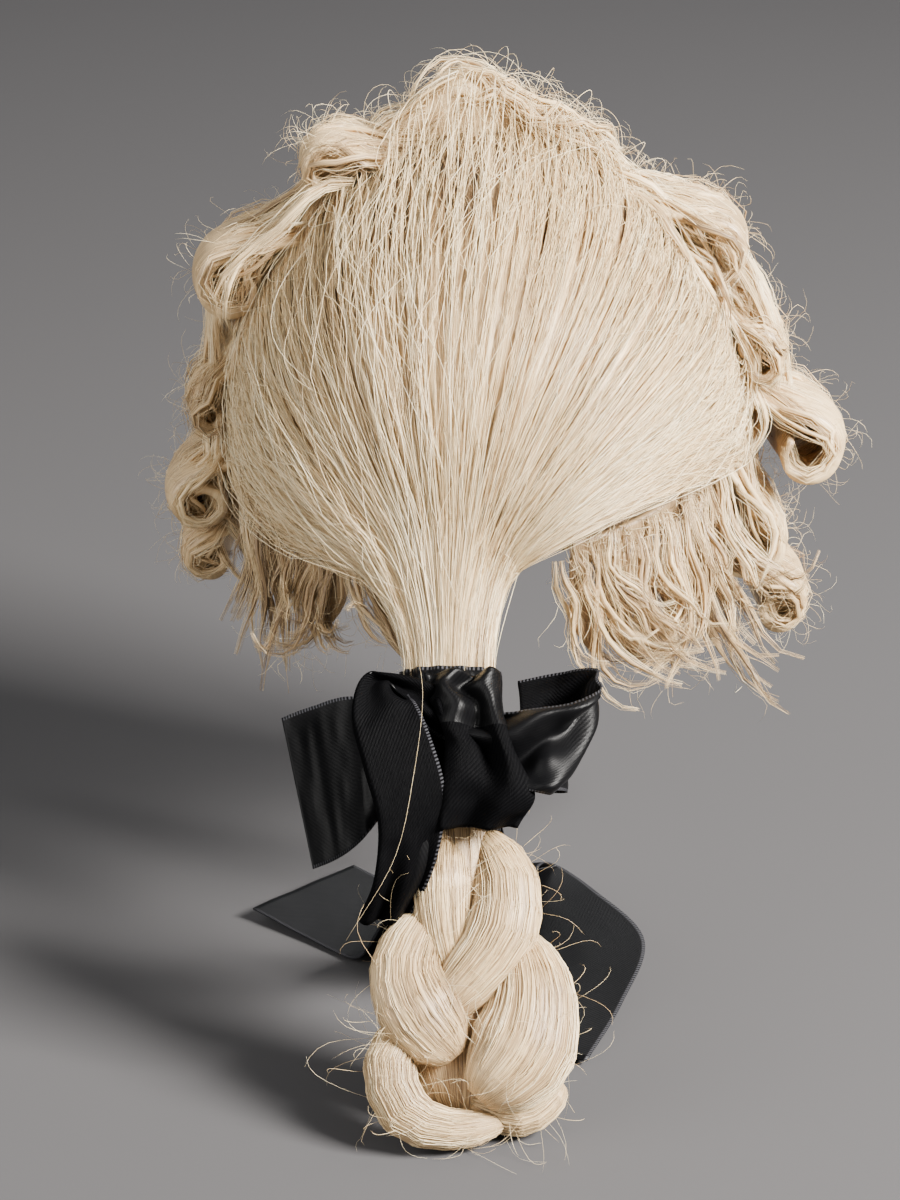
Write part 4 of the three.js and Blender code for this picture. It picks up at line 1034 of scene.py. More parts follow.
def side_curl(curl, seed):
    rng = np.random.default_rng(seed)
    form, side = curl_form(curl)
    rows, columns = 12, 40
    u, v = np.meshgrid(np.linspace(0, 1, rows), np.linspace(0, 1, columns), indexing="ij")
    relief = 0.1 * noise(u * 9 + noise(u * 3, v * 3, seed), v * 6, seed + 1)
    outer, inner = form(u, v, 0.75 + relief), form(u, v, -0.75 + relief)
    uv = np.stack([u * CURL_DEPTH, v * 150], axis=-1)
    # Painted shade: the roll's base is lighter where its relief stands out and darker where it dips
    base = sheet_part(outer, inner, uv, 0.4 + relief, flip=side < 0)

    count, steps = 15, 11
    share = np.linspace(0, 1, steps)
    u = lerp(-0.07, 1.0, (np.arange(count)[:, None] / (count - 1)) ** 1.3)
    v = np.clip((share - 0.15) / 0.85, 0, 1) * rng.uniform(0.8, 1, (count, 1))
    face = 0.9 + 0.5 * wander(rng, count, steps, 1.6)
    on_roll = form(u + 0.1 * wander(rng, count, steps, 0.8), v, face)
    lean = np.arcsin((-CURL_BACK * curl["rear"] + CURL_DEPTH * u) / (HALF_LENGTH + CURL_ROLL))
    above = side * (abs(math.radians(curl["spread"])) - np.radians(rng.uniform(8, 24, (count, 1))))
    root = over_head(above, np.maximum(lean, ROOT_LEAN - 0.03), rng.uniform(5, 15, (count, 1)))
    centres = lerp(root, on_roll, smooth(share, 0, 0.25)[:, None])
    centres = settled(centres)
    facing = centres - over_head(math.radians(curl["spread"]), 0 * u, CURL_ROLL * curl["lift"] + 0 * u)
    centres = waved(rng, centres, facing, 1.7, 2)
    wide = rng.uniform(2.4, 4.2, (count, 1)) * (0.7 + 0.5 * np.sin(np.pi * share))
    rolled = wisps(rng, centres, facing, wide, 9, thick=(0.07, 0.14), tint=0.6, ragged=0.45)
    parts = [base, *rolled]
    if curl["fill"] > 0.3:
        parts.extend(end_cover(rng, form, round(10 * curl["fill"])))

    def outer_face(a, b):
        return form(a, b, 1 + 0 * a)

    parts.append(fluff(rng, outer_face, 90, (5, 16), (-0.04, 1.02), (0.05, 0.9), -side, thick=FINE))
    name = f"side_curl_{curl['name']}"
    make_piece(f"{name}_locks", parts, [name])


def nape_wisps(rng, row, side, count, steps):
    """Centre lines that hang from the band and turn up at their tips, near a lock's own line."""
    share = (np.arange(steps) / (steps - 1))[None, :]
    bearing = np.radians(row["bearing"] + rng.uniform(-7, 7, (count, 1)))
    band = rng.uniform(-0.3, 0.95, (count, 1))
    root = on_band(bearing, band, side, UNDER_HAIR + BAND_WALL + rng.uniform(-1, 4, (count, 1)))
    outward = points_of(np.sin(bearing) * side, np.cos(bearing), 0)
    to_nape = points_of(np.cos(bearing) * side, -np.sin(bearing), 0)
    turn = np.radians(row["toward"] + rng.normal(0, 22, (count, 1)))[..., None]
    toward = outward * np.cos(turn) + to_nape * np.sin(turn)
    bend = np.radians(row["bend"]) * rng.uniform(0.6, 1.1, (count, 1)) * share ** row["late"]
    flare = NAPE_FLARE * rng.uniform(0.6, 2.0, (count, 1)) * np.clip(1 - 1.8 * share, 0, 1)
    step = NAPE_LOCK * row["length"] * rng.uniform(0.62, 1.02, (count, 1)) / (steps - 1)
    down = points_of(0, 0, -np.cos(bend))
    moves = (down + toward * np.sin(bend)[..., None] + outward * flare[..., None]) * step[..., None]
    moves[:, 0] = 0
    centres = root + np.cumsum(moves, axis=1)
    phase = rng.uniform(0, 1) + rng.normal(0, 0.1, (count, 1))
    return waved(rng, centres, outward, 3.4, 1.2 * row["length"], phase), outward


def nape_curls(name, side, seed):
    rng = np.random.default_rng(seed)
    bearing = np.linspace(BAND_FROM, BAND_TO, 90)
    band_u, band_v = np.meshgrid(bearing, np.linspace(0, 1, 6), indexing="ij")
    outer = on_band(band_u, band_v, side, UNDER_HAIR + BAND_WALL + 0.2 * np.sin(band_u * 160))
    inner = on_band(band_u, band_v, side, UNDER_HAIR)
    uv = np.stack([band_u * 90, band_v * BAND_HEIGHT], axis=-1)
    parts = [sheet_part(outer, inner, uv, 0.25, flip=side > 0, looks=(TAN, TAN))]
    for row in NAPE_LOCKS[name]:
        form = nape_lock_form(row, side)
        u, v = np.meshgrid(np.arange(12) / 12, np.linspace(0, 1, 16), indexing="ij")
        swell = (0.5 + 0.1 * noise(u * 9, v * 5, seed + 3)) * (1 - 0.97 * smooth(v, 0.3, 0.85))
        uv = np.stack([u * 45, v * 70 * row["length"]], axis=-1)
        # Painted shade: the lock's core tube is dark, so that the gaps between its strands read as shade
        parts.append(tube_part(form(u, v, swell), uv, 0.24, flip=True))
        count, steps = 11, 12
        share = np.linspace(0, 1, steps)
        centres, outward = nape_wisps(rng, row, side, count, steps)
        wide = rng.uniform(2.2, 4.2, (count, 1)) * lerp(0.7, 1, smooth(share, 0, 0.3))
        wide = wide * lerp(1, 0.3, smooth(share, 0.55, 1))
        locks = wisps(rng, centres, outward, wide, 10, (0.07, 0.13), tint=0.46, flat=0.8, ragged=0.35)
        parts.extend(locks)
        parts.append(fluff(rng, form, 40, (6, 18), (0, 1), (0.1, 0.9), -1, thick=FINE))
        seed += 1

    def on_edge(a, b):
        return on_band(lerp(BAND_FROM, BAND_TO, a), b, side, UNDER_HAIR + BAND_WALL)

    roots = fluff(rng, on_edge, 300, (4, 11), (0, 1), (-0.2, 1), side, steps=5, thick=(0.1, 0.18))
    roots["looks"] = TAN
    parts.append(roots)
    make_piece(f"nape_curls_{name}_locks", parts, [f"nape_curls_{name}"])


def rounded_ends(along):
    """How full a strand of the plait is along its length, as a share."""
    return np.sqrt(np.clip(1 - np.abs((along - 0.5) / 0.52) ** 6, 0, 1))


def braid():
    rng = np.random.default_rng(51)
    parts = []
    for seed, (name, rows) in enumerate(PLAIT.items(), 60):
        form = plait_form(rows)
        u, v = np.meshgrid(np.arange(48) / 48, np.linspace(0, 1, 20), indexing="ij")
        swell = 0.95 + 0.03 * noise(u * 9, v * 2, seed) + 0.02 * noise(u * 34, v * 2, seed + 9)
        uv = np.stack([u * 75, v * 70], axis=-1)
        # Painted shade: each strand's tube is dark under its hairs and lighter where it swells out, so that
        # the gaps read as shade
        tube = tube_part(form(u, v, swell * rounded_ends(v)), uv, 0.3 + 3 * (swell - 0.95), flip=True)
        parts.append(tube)
        count, steps = (80 if name == "core" else 225), 9
        share = np.linspace(0, 1, steps)
        around = rng.uniform(0, 1, (count, 1)) + 0.01 * wander(rng, count, steps, 0.8)
        along = lerp(rng.uniform(0, 0.06, (count, 1)), rng.uniform(0.94, 1, (count, 1)), share)
        layer = rng.uniform(0, 1, (count, 1))
        out = 0.96 + 0.05 * layer + 0.006 * wander(rng, count, steps, 1)
        out = out * rounded_ends(along)
        paths = form(around, along, out)
        middle = form(around, along, 0 * out)
        radius = strand_radius(rng, count, steps, (0.06, 0.13))
        # Painted shade: soft random darker bands round each strand stand in for its sides falling into
        # shade, hairs in the lower layer are darker, and all the hairs are kept darker than the back hair's
        # for the plait's shaded left side
        shade_round_strands = 0.2 * noise(around[:, 0] * 7, along[:, 0], seed + 20)
        tints = np.clip(0.47 + 0.35 * (layer[:, 0] - 0.5) + shade_round_strands + rng.normal(0, 0.15, count), 0, 1)
        parts.append(strand_part(paths, radius, paths - middle, tints))
        parts.append(fluff(rng, form, 56, (8, 24), (0, 1), (0.08, 0.86), -1, 7, FINE, curl=0.1))
    make_piece("plait", parts, ["braid"])


# Long stray hairs: across and down the back hair as shares at both ends, and how far they stand off
STRAYS_ON_BACK = [
    {"from": (0.3, 0.04), "to": (0.16, 0.8), "bulge": -0.2, "rise": 9},
    {"from": (0.36, 0.1), "to": (0.12, 0.42), "bulge": -0.12, "rise": 8},
    {"from": (0.08, 0.5), "to": (0.24, 0.62), "bulge": 0.0, "rise": 6},
    {"from": (0.3, 0.55), "to": (0.2, 0.72), "bulge": 0.0, "rise": 5},
    {"from": (0.62, 0.08), "to": (0.7, 0.5), "bulge": 0.1, "rise": 5},
    {"from": (0.9, 0.05), "to": (0.8, 0.6), "bulge": 0.06, "rise": 8},
]
# One that hangs over the bow: across, down and out from the tie
STRAY_OVER_BOW = [(-14, -14, 14), (-9, 10, 26), (-12, 40, 29), (-18, 66, 26), (-34, 92, 16)]


def stray_hairs():
    rng = np.random.default_rng(77)
    count, steps = 130, 12
    share = np.linspace(0, 1, steps)
    swing = np.sin(np.pi * share)
    u = rng.uniform(0.03, 0.97, (count, 1)) + rng.normal(0, 0.05, (count, 1)) * share
    u = u + rng.normal(0, 0.04, (count, 1)) * swing
    v = rng.uniform(0.02, 0.7, (count, 1)) + rng.uniform(0.1, 0.3, (count, 1)) * share
    rise = rng.uniform(2, 9, (count, 1)) * swing
    for row in STRAYS_ON_BACK:
        across = lerp(row["from"][0], row["to"][0], share) + row["bulge"] * swing
        u = np.concatenate([u, across[None]])
        v = np.concatenate([v, lerp(row["from"][1], row["to"][1], share)[None]])
        rise = np.concatenate([rise, row["rise"] * swing[None] + 1])
    paths, normal = lifted(back_hair_top, np.clip(u, 0, 1), np.clip(v, 0, 0.95), rise + 0.5, -1)
    radius = strand_radius(rng, len(paths), steps, (0.06, 0.1), tip=0.6)
    parts = [strand_part(paths, radius, normal, rng.uniform(0.7, 1, len(paths)))]
    across, down, out = np.array(STRAY_OVER_BOW).T
    over_bow = evenly(on_queue(across, down, out), 22)[None]
    parts.append(strand_part(over_bow, np.full((1, 22), 0.055), QUEUE_OUT, np.array([0.8])))

    count = 110
    u = rng.uniform(0.02, 0.98, (count, 1)) + rng.normal(0, 0.06, (count, 1)) * share
    v = rng.uniform(0.1, 0.4, (count, 1)) + rng.normal(0, 0.1, (count, 1)) * share
    rise = rng.uniform(4, 12, (count, 1)) * swing + 0.5
    paths, normal = lifted(front_hair_top, np.clip(u, 0, 1), np.clip(v, 0.02, 1), rise, 1)
    radius = strand_radius(rng, count, steps, (0.05, 0.09), tip=0.6)
    parts.append(strand_part(paths, radius, normal, rng.uniform(0.7, 1, count)))
    make_piece("stray_hairs", parts)


# Ribbon

ACROSS = np.array([1.0, 0, 0])
AT_TIE = {"origin": np.array(TIE, float), "across": ACROSS, "down": QUEUE_DOWN, "out": QUEUE_OUT}
AT_REST = {
    "origin": np.array([TIE[0], 0, -REST_DROP]),
    "across": ACROSS,
    "down": np.array([0, -1.0, 0]),
    "out": np.array([0, 0, 1.0]),
}
RIBBON_COLUMNS = "across down out wide lean lift"
# In shares of the ribbon's width, and degrees, as in the frame
RIBBONS = {
    "knot": (AT_TIE, [
        (0.08, 0.06, 0.345, 0.5, 90, 0),
        (0.1, 0.25, 0.4, 0.46, 90, 0),
        (0.18, 0.52, 0.43, 0.44, 84, 0),
        (0.24, 0.8, 0.44, 0.62, 76, 0),
        (0.18, 1.06, 0.35, 0.5, 90, 0),
    ]),
    "loop_right": (AT_TIE, [
        (0.08, 0.5, 0.33, 0.36, 0, 0),
        (0.42, 0.56, 0.39, 0.5, -8, 0),
        (0.66, 0.56, 0.38, 0.6, -16, 0),
        (0.84, 0.47, 0.24, 0.74, -18, 0),
        (0.86, 0.4, 0.08, 0.82, -18, 0),
        (0.66, 0.38, -0.06, 0.8, -10, 0),
        (0.44, 0.38, -0.04, 0.66, 0, 0),
    ]),
    "loop_left": (AT_TIE, [
        (0.02, 0.36, 0.32, 0.34, 10, 0),
        (-0.2, 0.26, 0.36, 0.34, 20, 0),
        (-0.4, 0.16, 0.36, 0.3, 60, 0),
        (-0.42, 0.3, 0.44, 0.4, 100, 0),
        (-0.33, 0.6, 0.47, 0.46, 112, 0),
        (-0.24, 0.95, 0.43, 0.46, 114, 0),
        (-0.28, 1.3, 0.33, 0.4, 104, 0),
        (-0.42, 1.62, 0.1, 0.32, 90, 0),
    ]),
    "end_left": (AT_TIE, [
        (-0.35, 0.52, 0.06, 0.6, 0, 0),
        (-0.62, 0.64, 0.06, 0.94, 6, 0),
        (-0.8, 0.72, 0.02, 1, 10, 0),
        (-0.98, 0.79, 0, 1, 12, 0),
    ]),
    "tail_left": (AT_REST, [
        (-0.06, 2.68, 1.62, 0.26, 90, 0),
        (-0.12, 2.3, 0.9, 0.5, 80, 0),
        (-0.1, 1.8, 0.3, 0.9, 66, 0),
        (-0.3, 1.15, 0.05, 1, 137, 0),
        (-0.66, 0.8, 0.03, 1, 137, 0),
        (-1.04, 0.46, 0.08, 1, 136, 0),
    ]),
    "tail_right": (AT_REST, [
        (0.22, 2.68, 1.62, 0.24, 90, 0),
        (0.22, 2.1, 1.0, 0.4, 90, 0),
        (0.2, 1.2, 0.42, 0.7, 90, 0),
        (0.22, 0.62, 0.3, 0.9, 100, 0),
        (0.3, 0.5, 0.18, 1, 110, 0),
        (0.56, 0.95, 0.12, 1, 110, 10),
        (0.84, 1.56, 0.12, 1, 92, 10),
        (0.66, 2.2, 0.08, 1, 78, 4),
        (0.42, 2.8, 0.04, 1, 72, 0),
    ]),
}


def ribbon_edges(frame_of, rows):
    edges = []
    for sign in (-1, 1):
        points = []
        for row in table(RIBBON_COLUMNS, rows):
            lean, lift = math.radians(row["lean"]), math.radians(row["lift"])
            half = sign * RIBBON_WIDTH * row["wide"] / 2
            aside = {
                "across": half * math.sin(lean) * math.cos(lift),
                "down": half * math.cos(lean) * math.cos(lift),
                "out": half * math.sin(lift),
            }
            point = frame_of["origin"]
            for axis, reach in aside.items():
                point = point + frame_of[axis] * (RIBBON_WIDTH * row[axis] + reach)
            points.append(point)
        edges.append(np.array(points))
    return edges


def folded_profile(u, layers):
    """Across a ribbon folded in half lengthwise: both edges on one side, the fold on the other."""
    across = 1 - 2 * (1 - np.abs(2 * u - 1))
    return across, layers * np.cos(np.pi * smooth(u, 0.46, 0.54))


def tucked_profile(u, layers):
    """Across a ribbon with its two edges turned under."""
    tuck, turned = 0.16, 0.35
    inner = (u - tuck) / (1 - 2 * tuck)
    across = 2 * inner - 1
    across = np.where(u < tuck, -1 + turned * (1 - u / tuck), across)
    across = np.where(u > 1 - tuck, 1 - turned * (1 - (1 - u) / tuck), across)
    under = smooth(u, tuck - 0.05, tuck + 0.03) * smooth(1 - u, tuck - 0.05, tuck + 0.03)
    return across, layers * (2 * under - 1)


def flat_profile(u, layers):
    """Across a flat ribbon, which has one layer and so no gap between layers."""
    return 2 * u - 1, 0 * u


# How each ribbon lies: its profile, half the gap between its layers, its pleats and how far they
# slant from end to end, its two looks, and the share of its length from which they are the other way
RIBBON_LAYS = {
    lay["name"]: lay
    for lay in table("name profile layers pleats slant looks turns", [
        ("knot", tucked_profile, -0.8, 1.8, 0.9, (SATIN, TWILL), 0.4),
        ("loop_right", flat_profile, 0, 1.4, 0.3, (SATIN, TWILL), 0),
        ("loop_left", folded_profile, 0.8, 1.5, 0, (SATIN, TWILL), 0),
        ("end_left", flat_profile, 0, 2, 0, (TWILL, SATIN), 0),
        ("tail_left", flat_profile, 0, 2.5, 0, (SATIN, TWILL), 0),
        ("tail_right", flat_profile, 0, 2.5, 0, (TWILL, SATIN), 0),
    ])
}


def ribbon(name, seed):
    frame_of, rows = RIBBONS[name]
    lay = RIBBON_LAYS[name]
    left, right = ribbon_edges(frame_of, rows)
    across_steps, along_steps = 35, 10 * len(rows)
    share = np.linspace(0, 1, along_steps)
    a, b = through(left, share), through(right, share)
    middle, half = (a + b) / 2, (b - a) / 2
    length = np.linalg.norm(np.diff(middle, axis=0), axis=1).sum()
    heading = unit(np.gradient(middle, axis=0))
    normal = unit(np.cross(b - a, heading))
    width = 2 * np.linalg.norm(half, axis=1)
    u, v = np.meshgrid(np.linspace(0, 1, across_steps), share, indexing="ij")
    across, layer = lay["profile"](u, lay["layers"])
    run = np.abs(np.diff(across, axis=0)).sum(axis=0) / 2
    full = np.clip(0.88 * RIBBON_WIDTH / (width * run), 1, 3)
    slope = 2 * np.sqrt(full - 1) * (1 + 0.3 * (full - 1))
    depth = width / (2 * np.pi * lay["pleats"]) * slope
    bent = 0.5 * noise(v * 3, v * 0 + 5, seed) + 0.3 * noise(v * 7, u * 2, seed + 4)
    pleat = np.sin(2 * np.pi * (lay["pleats"] * (across + 1) / 2 + lay["slant"] * v + bent))
    soft = 0.5 * noise(u * 2, v * 7, seed + 2) + 0.2 * noise(u * 5, v * 13, seed + 3)
    edge = smooth(u, 0, 0.08) * smooth(1 - u, 0, 0.08)
    uneven = 1 + 0.35 * noise(u * 3, v * 4, seed + 5)
    out = depth[None] * pleat * uneven * lerp(0.5, 1, edge) + soft + layer
    points = middle[None] + half[None] * across[..., None] + normal[None] * out[..., None]
    face = unit(np.cross(np.gradient(points, axis=0), np.gradient(points, axis=1)))
    uv = np.stack([u * RIBBON_WIDTH, v * length], axis=-1)
    top, low = points + face * RIBBON_CLOTH / 2, points - face * RIBBON_CLOTH / 2
    cloth = sheet_part(top, low, uv, 0.5, looks=lay["looks"])
    if lay["turns"]:
        faces = (across_steps - 1) * (along_steps - 1)
        other = dict(zip(lay["looks"], lay["looks"][::-1]))
        for face_number in range(2 * faces):
            if face_number % (along_steps - 1) < lay["turns"] * along_steps:
                cloth["looks"][face_number] = other[cloth["looks"][face_number]]
    piece = make_piece(f"satin_{name}", [cloth], [f"ribbon_{name}"])


def ribbon_wrap():
    u, v = np.meshgrid(np.arange(120) / 120, np.linspace(0, 1, 16), indexing="ij")
    angle = 2 * np.pi * u
    belly = 1 + WRAP_BELLY * np.sin(np.pi * v)
    gather = 1.5 * np.cos(WRAP_FOLDS * angle + WRAP_TWIST * v) ** 2 + 0.5 * noise(u * 12, v * 5, 5)

    def face(extra):
        x = (QUEUE_WIDTH / 2 + 0.3) * WRAP_EASE * belly + extra
        y = (QUEUE_DEPTH / 2 + 0.3) * WRAP_EASE * belly + extra
        return on_queue(x * np.cos(angle), v * WRAP_LENGTH, y * np.sin(angle))

    girth = math.pi * (QUEUE_WIDTH + QUEUE_DEPTH) / 2
    uv = np.stack([v * RIBBON_WIDTH, u * girth], axis=-1)
    cloth = round_sheet(face(RIBBON_CLOTH + gather), face(gather), uv, SATIN, flip=True)
    piece = make_piece("satin_wrap", [cloth], ["ribbon_wrap"])


def cap():
    bearing, ring = np.meshgrid(np.arange(72) / 72 * 2 * np.pi, np.linspace(0.0, 1, 18), indexing="ij")
    mirrored = np.minimum(bearing, 2 * np.pi - bearing)
    polar = rim_polar(mirrored) * np.maximum(ring, 1e-3)
    outer, inner = round_head(polar, bearing, CAP_WALL), round_head(polar, bearing, 0)
    uv = np.stack([bearing * 85, ring * 140], axis=-1)
    make_piece("net_cap", [round_sheet(outer, inner, uv, NET)], ["cap"])


# Materials


def node(tree, kind, **values):
    made = tree.nodes.new(kind)
    for key, value in values.items():
        if key in made.inputs:
            made.inputs[key].default_value = value
        else:
            setattr(made, key, value)
    return made


def link(tree, source, output, target, entry):
    tree.links.new(source.outputs[output], target.inputs[entry])


def maths(tree, operation, *entries):
    """A Math node whose entries are numbers, or pairs of the node and the output that feed them."""
    made = node(tree, "ShaderNodeMath", operation=operation)
    for place, entry in enumerate(entries):
        if isinstance(entry, tuple):
            link(tree, *entry, made, place)
        else:
            made.inputs[place].default_value = entry
    return made


def ramp(tree, stops):
    made = tree.nodes.new("ShaderNodeValToRGB")
    elements = made.color_ramp.elements
    while len(elements) < len(stops):
        elements.new(0.5)
    for element, (place, colour) in zip(elements, stops):
        element.position = place
        element.color = (*colour, 1)
    return made


def fibre_group():
    """Fine fibres along the hair: a colour share and a height, from the Strand map and tint."""
    tree = bpy.data.node_groups.new("Fibres", "ShaderNodeTree")
    for name, low in (("Across", 2.0), ("Along", 0.05), ("Contrast", 0.5)):
        socket = tree.interface.new_socket(name, in_out="INPUT", socket_type="NodeSocketFloat")
        socket.default_value = low
    for name in ("Share", "Height"):
        tree.interface.new_socket(name, in_out="OUTPUT", socket_type="NodeSocketFloat")
    inside, outside = node(tree, "NodeGroupInput"), node(tree, "NodeGroupOutput")
    uv = node(tree, "ShaderNodeUVMap", uv_map="Strand")
    scale = node(tree, "ShaderNodeCombineXYZ")
    link(tree, inside, "Across", scale, "X")
    link(tree, inside, "Along", scale, "Y")
    place = node(tree, "ShaderNodeVectorMath", operation="MULTIPLY")
    tree.links.new(uv.outputs["UV"], place.inputs[0])
    tree.links.new(scale.outputs["Vector"], place.inputs[1])
    grain = node(tree, "ShaderNodeTexNoise", noise_dimensions="2D", Scale=1.0, Detail=3.0, Roughness=0.62)
    link(tree, place, "Vector", grain, "Vector")
    tint = node(tree, "ShaderNodeAttribute", attribute_name="tint")
    centred = maths(tree, "SUBTRACT", (grain, "Fac"), 0.5)
    strength = maths(tree, "MULTIPLY_ADD", (centred, "Value"), (inside, "Contrast"), (tint, "Fac"))
    link(tree, strength, "Value", outside, "Share")
    link(tree, grain, "Fac", outside, "Height")
    return tree


def hair_material(name, stops, contrast):
    material = bpy.data.materials.new(name)
    material.use_nodes = True
    tree = material.node_tree
    shader = tree.nodes["Principled BSDF"]
    fibres = node(tree, "ShaderNodeGroup", node_tree=FIBRES)
    fibres.inputs["Across"].default_value = 2.6
    fibres.inputs["Along"].default_value = 0.05
    fibres.inputs["Contrast"].default_value = contrast
    patches = node(tree, "ShaderNodeTexNoise", Scale=28.0, Detail=2.0)
    place = node(tree, "ShaderNodeTexCoord")
    link(tree, place, "Object", patches, "Vector")
    mixed = maths(tree, "MULTIPLY_ADD", (patches, "Fac"), 0.35, (fibres, "Share"))
    shifted = maths(tree, "SUBTRACT", (mixed, "Value"), 0.175)
    colours = ramp(tree, stops)
    link(tree, shifted, "Value", colours, "Fac")
    link(tree, colours, "Color", shader, "Base Color")
    rough = node(tree, "ShaderNodeMapRange")
    rough.inputs["To Min"].default_value = 0.46
    rough.inputs["To Max"].default_value = 0.28
    link(tree, fibres, "Height", rough, "Value")
    link(tree, rough, "Result", shader, "Roughness")
    bump = node(tree, "ShaderNodeBump", Strength=0.5, Distance=0.0004)
    link(tree, fibres, "Height", bump, "Height")
    link(tree, bump, "Normal", shader, "Normal")
    shader.inputs["Specular IOR Level"].default_value = 0.45
    return material


def satin_material(name, twill_height, rough, gloss):
    """Black satin: fine threads, a twill that shows more on the reverse, and stitched selvedges."""
    material = bpy.data.materials.new(name)
    material.use_nodes = True
    tree = material.node_tree
    shader = tree.nodes["Principled BSDF"]
    uv = node(tree, "ShaderNodeUVMap", uv_map="Strand")
    twill = node(tree, "ShaderNodeTexWave", bands_direction="DIAGONAL", Scale=0.42, Distortion=0.3)
    link(tree, uv, "UV", twill, "Vector")
    threads = node(tree, "ShaderNodeMapping")
    threads.inputs["Scale"].default_value = (5.0, 0.2, 1)
    link(tree, uv, "UV", threads, "Vector")
    grain = node(tree, "ShaderNodeTexNoise", noise_dimensions="2D", Scale=1.0, Detail=2.0)
    link(tree, threads, "Vector", grain, "Vector")
    parts = node(tree, "ShaderNodeSeparateXYZ")
    link(tree, uv, "UV", parts, "Vector")
    from_middle = maths(tree, "SUBTRACT", (parts, "X"), RIBBON_WIDTH / 2)
    off = maths(tree, "ABSOLUTE", (from_middle, "Value"))
    selvedge = node(tree, "ShaderNodeMapRange")
    selvedge.inputs["From Min"].default_value = RIBBON_WIDTH / 2 - 1.3
    selvedge.inputs["From Max"].default_value = RIBBON_WIDTH / 2 - 0.9
    link(tree, off, "Value", selvedge, "Value")
    stitches = node(tree, "ShaderNodeTexWave", bands_direction="Y", Scale=0.3)
    link(tree, uv, "UV", stitches, "Vector")
    dashes = maths(tree, "GREATER_THAN", (stitches, "Fac"), 0.55)
    stitched = maths(tree, "MULTIPLY", (selvedge, "Result"), (dashes, "Value"))
    colours = ramp(tree, [(0.0, (0.0006, 0.0006, 0.0008)), (1.0, (0.003, 0.003, 0.0034))])
    shade = maths(tree, "MULTIPLY_ADD", (twill, "Fac"), 0.5, (grain, "Fac"))
    link(tree, shade, "Value", colours, "Fac")
    thread = node(tree, "ShaderNodeMix", data_type="RGBA")
    thread.inputs["B"].default_value = (0.045, 0.045, 0.05, 1)
    link(tree, stitched, "Value", thread, 0)
    link(tree, colours, "Color", thread, 6)
    link(tree, thread, 2, shader, "Base Color")
    spread = node(tree, "ShaderNodeMapRange")
    spread.inputs["To Min"].default_value = rough
    spread.inputs["To Max"].default_value = rough + 0.12
    link(tree, grain, "Fac", spread, "Value")
    link(tree, spread, "Result", shader, "Roughness")
    bump = node(tree, "ShaderNodeBump", Strength=twill_height, Distance=0.0003)
    link(tree, shade, "Value", bump, "Height")
    link(tree, bump, "Normal", shader, "Normal")
    shader.inputs["Specular IOR Level"].default_value = gloss
    return material


def net_material():
    material = bpy.data.materials.new(NET)
    material.use_nodes = True
    tree = material.node_tree
    shader = tree.nodes["Principled BSDF"]
    uv = node(tree, "ShaderNodeUVMap", uv_map="Strand")
    waves = []
    for direction in ("X", "Y"):
        wave = node(tree, "ShaderNodeTexWave", bands_direction=direction, Scale=0.22, Distortion=0.6)
        link(tree, uv, "UV", wave, "Vector")
        waves.append(wave)
    weave = maths(tree, "MAXIMUM", (waves[0], "Fac"), (waves[1], "Fac"))
    colours = ramp(tree, [(0.2, (0.2, 0.12, 0.06)), (0.9, (0.5, 0.36, 0.22))])
    link(tree, weave, "Value", colours, "Fac")
    link(tree, colours, "Color", shader, "Base Color")
    bump = node(tree, "ShaderNodeBump", Strength=0.6, Distance=0.0004)
    link(tree, weave, "Value", bump, "Height")
    link(tree, bump, "Normal", shader, "Normal")
    shader.inputs["Roughness"].default_value = 0.85
    return material


FIBRES = fibre_group()
PALE_STOPS = [
    (0.0, (0.09, 0.055, 0.028)),
    (0.25, (0.37, 0.24, 0.12)),
    (0.5, (0.75, 0.54, 0.29)),
    (0.78, (0.96, 0.76, 0.45)),
    (1.0, (1.0, 0.87, 0.6)),
]
TAN_STOPS = [
    (0.0, (0.15, 0.09, 0.045)),
    (0.5, (0.42, 0.29, 0.15)),
    (1.0, (0.75, 0.6, 0.37)),
]
MATERIALS[HAIR] = hair_material(HAIR, PALE_STOPS, 0.9)
MATERIALS[TAN] = hair_material(TAN, TAN_STOPS, 0.9)
MATERIALS[SATIN] = satin_material(SATIN, 0.2, 0.33, 0.13)
MATERIALS[TWILL] = satin_material(TWILL, 0.8, 0.42, 0.018)
MATERIALS[NET] = net_material()


# Camera, floor and light


def place_camera():
    data = bpy.data.cameras.new("camera")
    data.sensor_width = 36
    data.lens = CAMERA_LENS
    camera = bpy.data.objects.new("camera", data)
    bpy.context.scene.collection.objects.link(camera)
    ahead = Vector((0, math.cos(CAMERA_ELEVATION), -math.sin(CAMERA_ELEVATION)))
    camera.location = (Vector(CAMERA_TARGET) - ahead * CAMERA_DISTANCE) * MM
    camera.rotation_mode = "QUATERNION"
    camera.rotation_quaternion = ahead.to_track_quat("-Z", "Y")
    bpy.context.scene.camera = camera


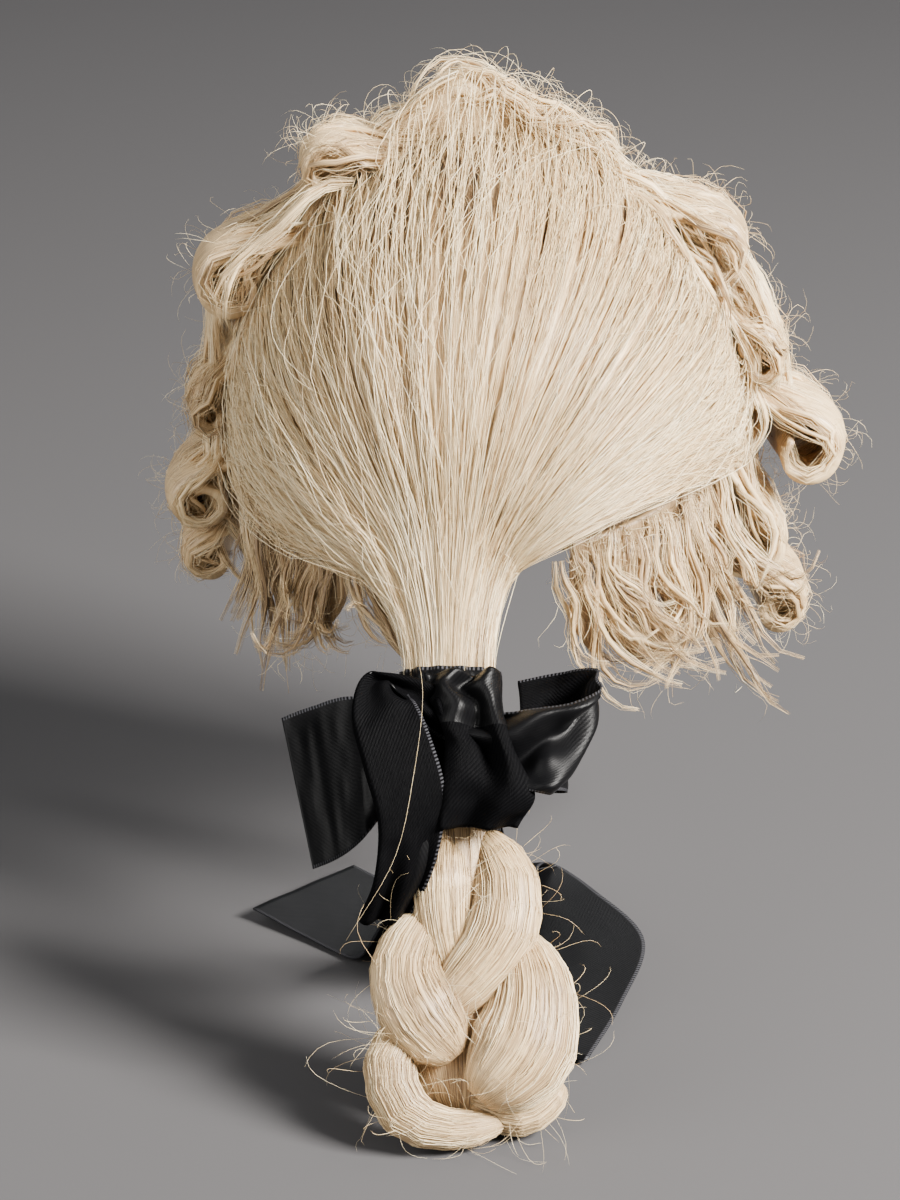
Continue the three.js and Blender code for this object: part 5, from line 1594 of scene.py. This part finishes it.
def add_floor():
    mesh = bpy.data.meshes.new("floor")
    half, height = FLOOR_HALF, -(REST_DROP + FLOOR_BELOW) * MM
    corners = [(-half, -half, height), (half, -half, height), (half, half, height), (-half, half, height)]
    mesh.from_pydata(corners, [], [(0, 1, 2, 3)])
    floor = bpy.data.objects.new("floor", mesh)
    bpy.context.scene.collection.objects.link(floor)
    material = bpy.data.materials.new("pale floor")
    material.use_nodes = True
    shader = material.node_tree.nodes["Principled BSDF"]
    shader.inputs["Base Color"].default_value = FLOOR_COLOUR
    shader.inputs["Roughness"].default_value = 0.9
    shader.inputs["Specular IOR Level"].default_value = 0.1
    mesh.materials.append(material)


FLOOR_COLOUR = (0.077, 0.075, 0.077, 1)
FLOOR_HALF = 6  # metres
FLOOR_BELOW = 0.6  # under what rests on it
STUDIO_COLOUR = (0.75, 0.77, 0.8, 1)
STUDIO_LIGHT = 0.36
LIGHTS_AIM = (0, -0.03, -0.12)
LIGHTS = [
    {"name": "key", "at": (1.4, -0.85, 1.0), "size": 0.7, "power": 248, "colour": (1, 0.97, 0.93)},
    {"name": "fill", "at": (-1.3, -0.9, 0.5), "size": 1.4, "power": 24, "colour": (1, 0.98, 0.95)},
    {"name": "back", "at": (0.4, 1.3, 0.9), "size": 1.2, "power": 8, "colour": (1, 1, 1)},
]


def add_lights():
    for row in LIGHTS:
        data = bpy.data.lights.new(row["name"], "AREA")
        data.size = row["size"]
        data.energy = row["power"]
        data.color = row["colour"]
        lamp = bpy.data.objects.new(row["name"], data)
        bpy.context.scene.collection.objects.link(lamp)
        lamp.location = row["at"]
        toward = Vector(LIGHTS_AIM) - lamp.location
        lamp.rotation_mode = "QUATERNION"
        lamp.rotation_quaternion = toward.to_track_quat("-Z", "Y")
    world = bpy.data.worlds.new("studio")
    world.use_nodes = True
    background = world.node_tree.nodes["Background"]
    background.inputs["Color"].default_value = STUDIO_COLOUR
    background.inputs["Strength"].default_value = STUDIO_LIGHT
    bpy.context.scene.world = world


place_camera()
add_floor()
add_lights()
back_hair()
front_hair()
for number, curl_row in enumerate(SIDE_CURLS):
    side_curl(curl_row, 100 + 10 * number)
side_locks("left", -1, 250)
side_locks("right", 1, 260)
nape_curls("left", -1, 300)
nape_curls("right", 1, 400)
braid()
stray_hairs()
ribbon_wrap()
for number, ribbon_name in enumerate(RIBBONS):
    ribbon(ribbon_name, 500 + 10 * number)
cap()
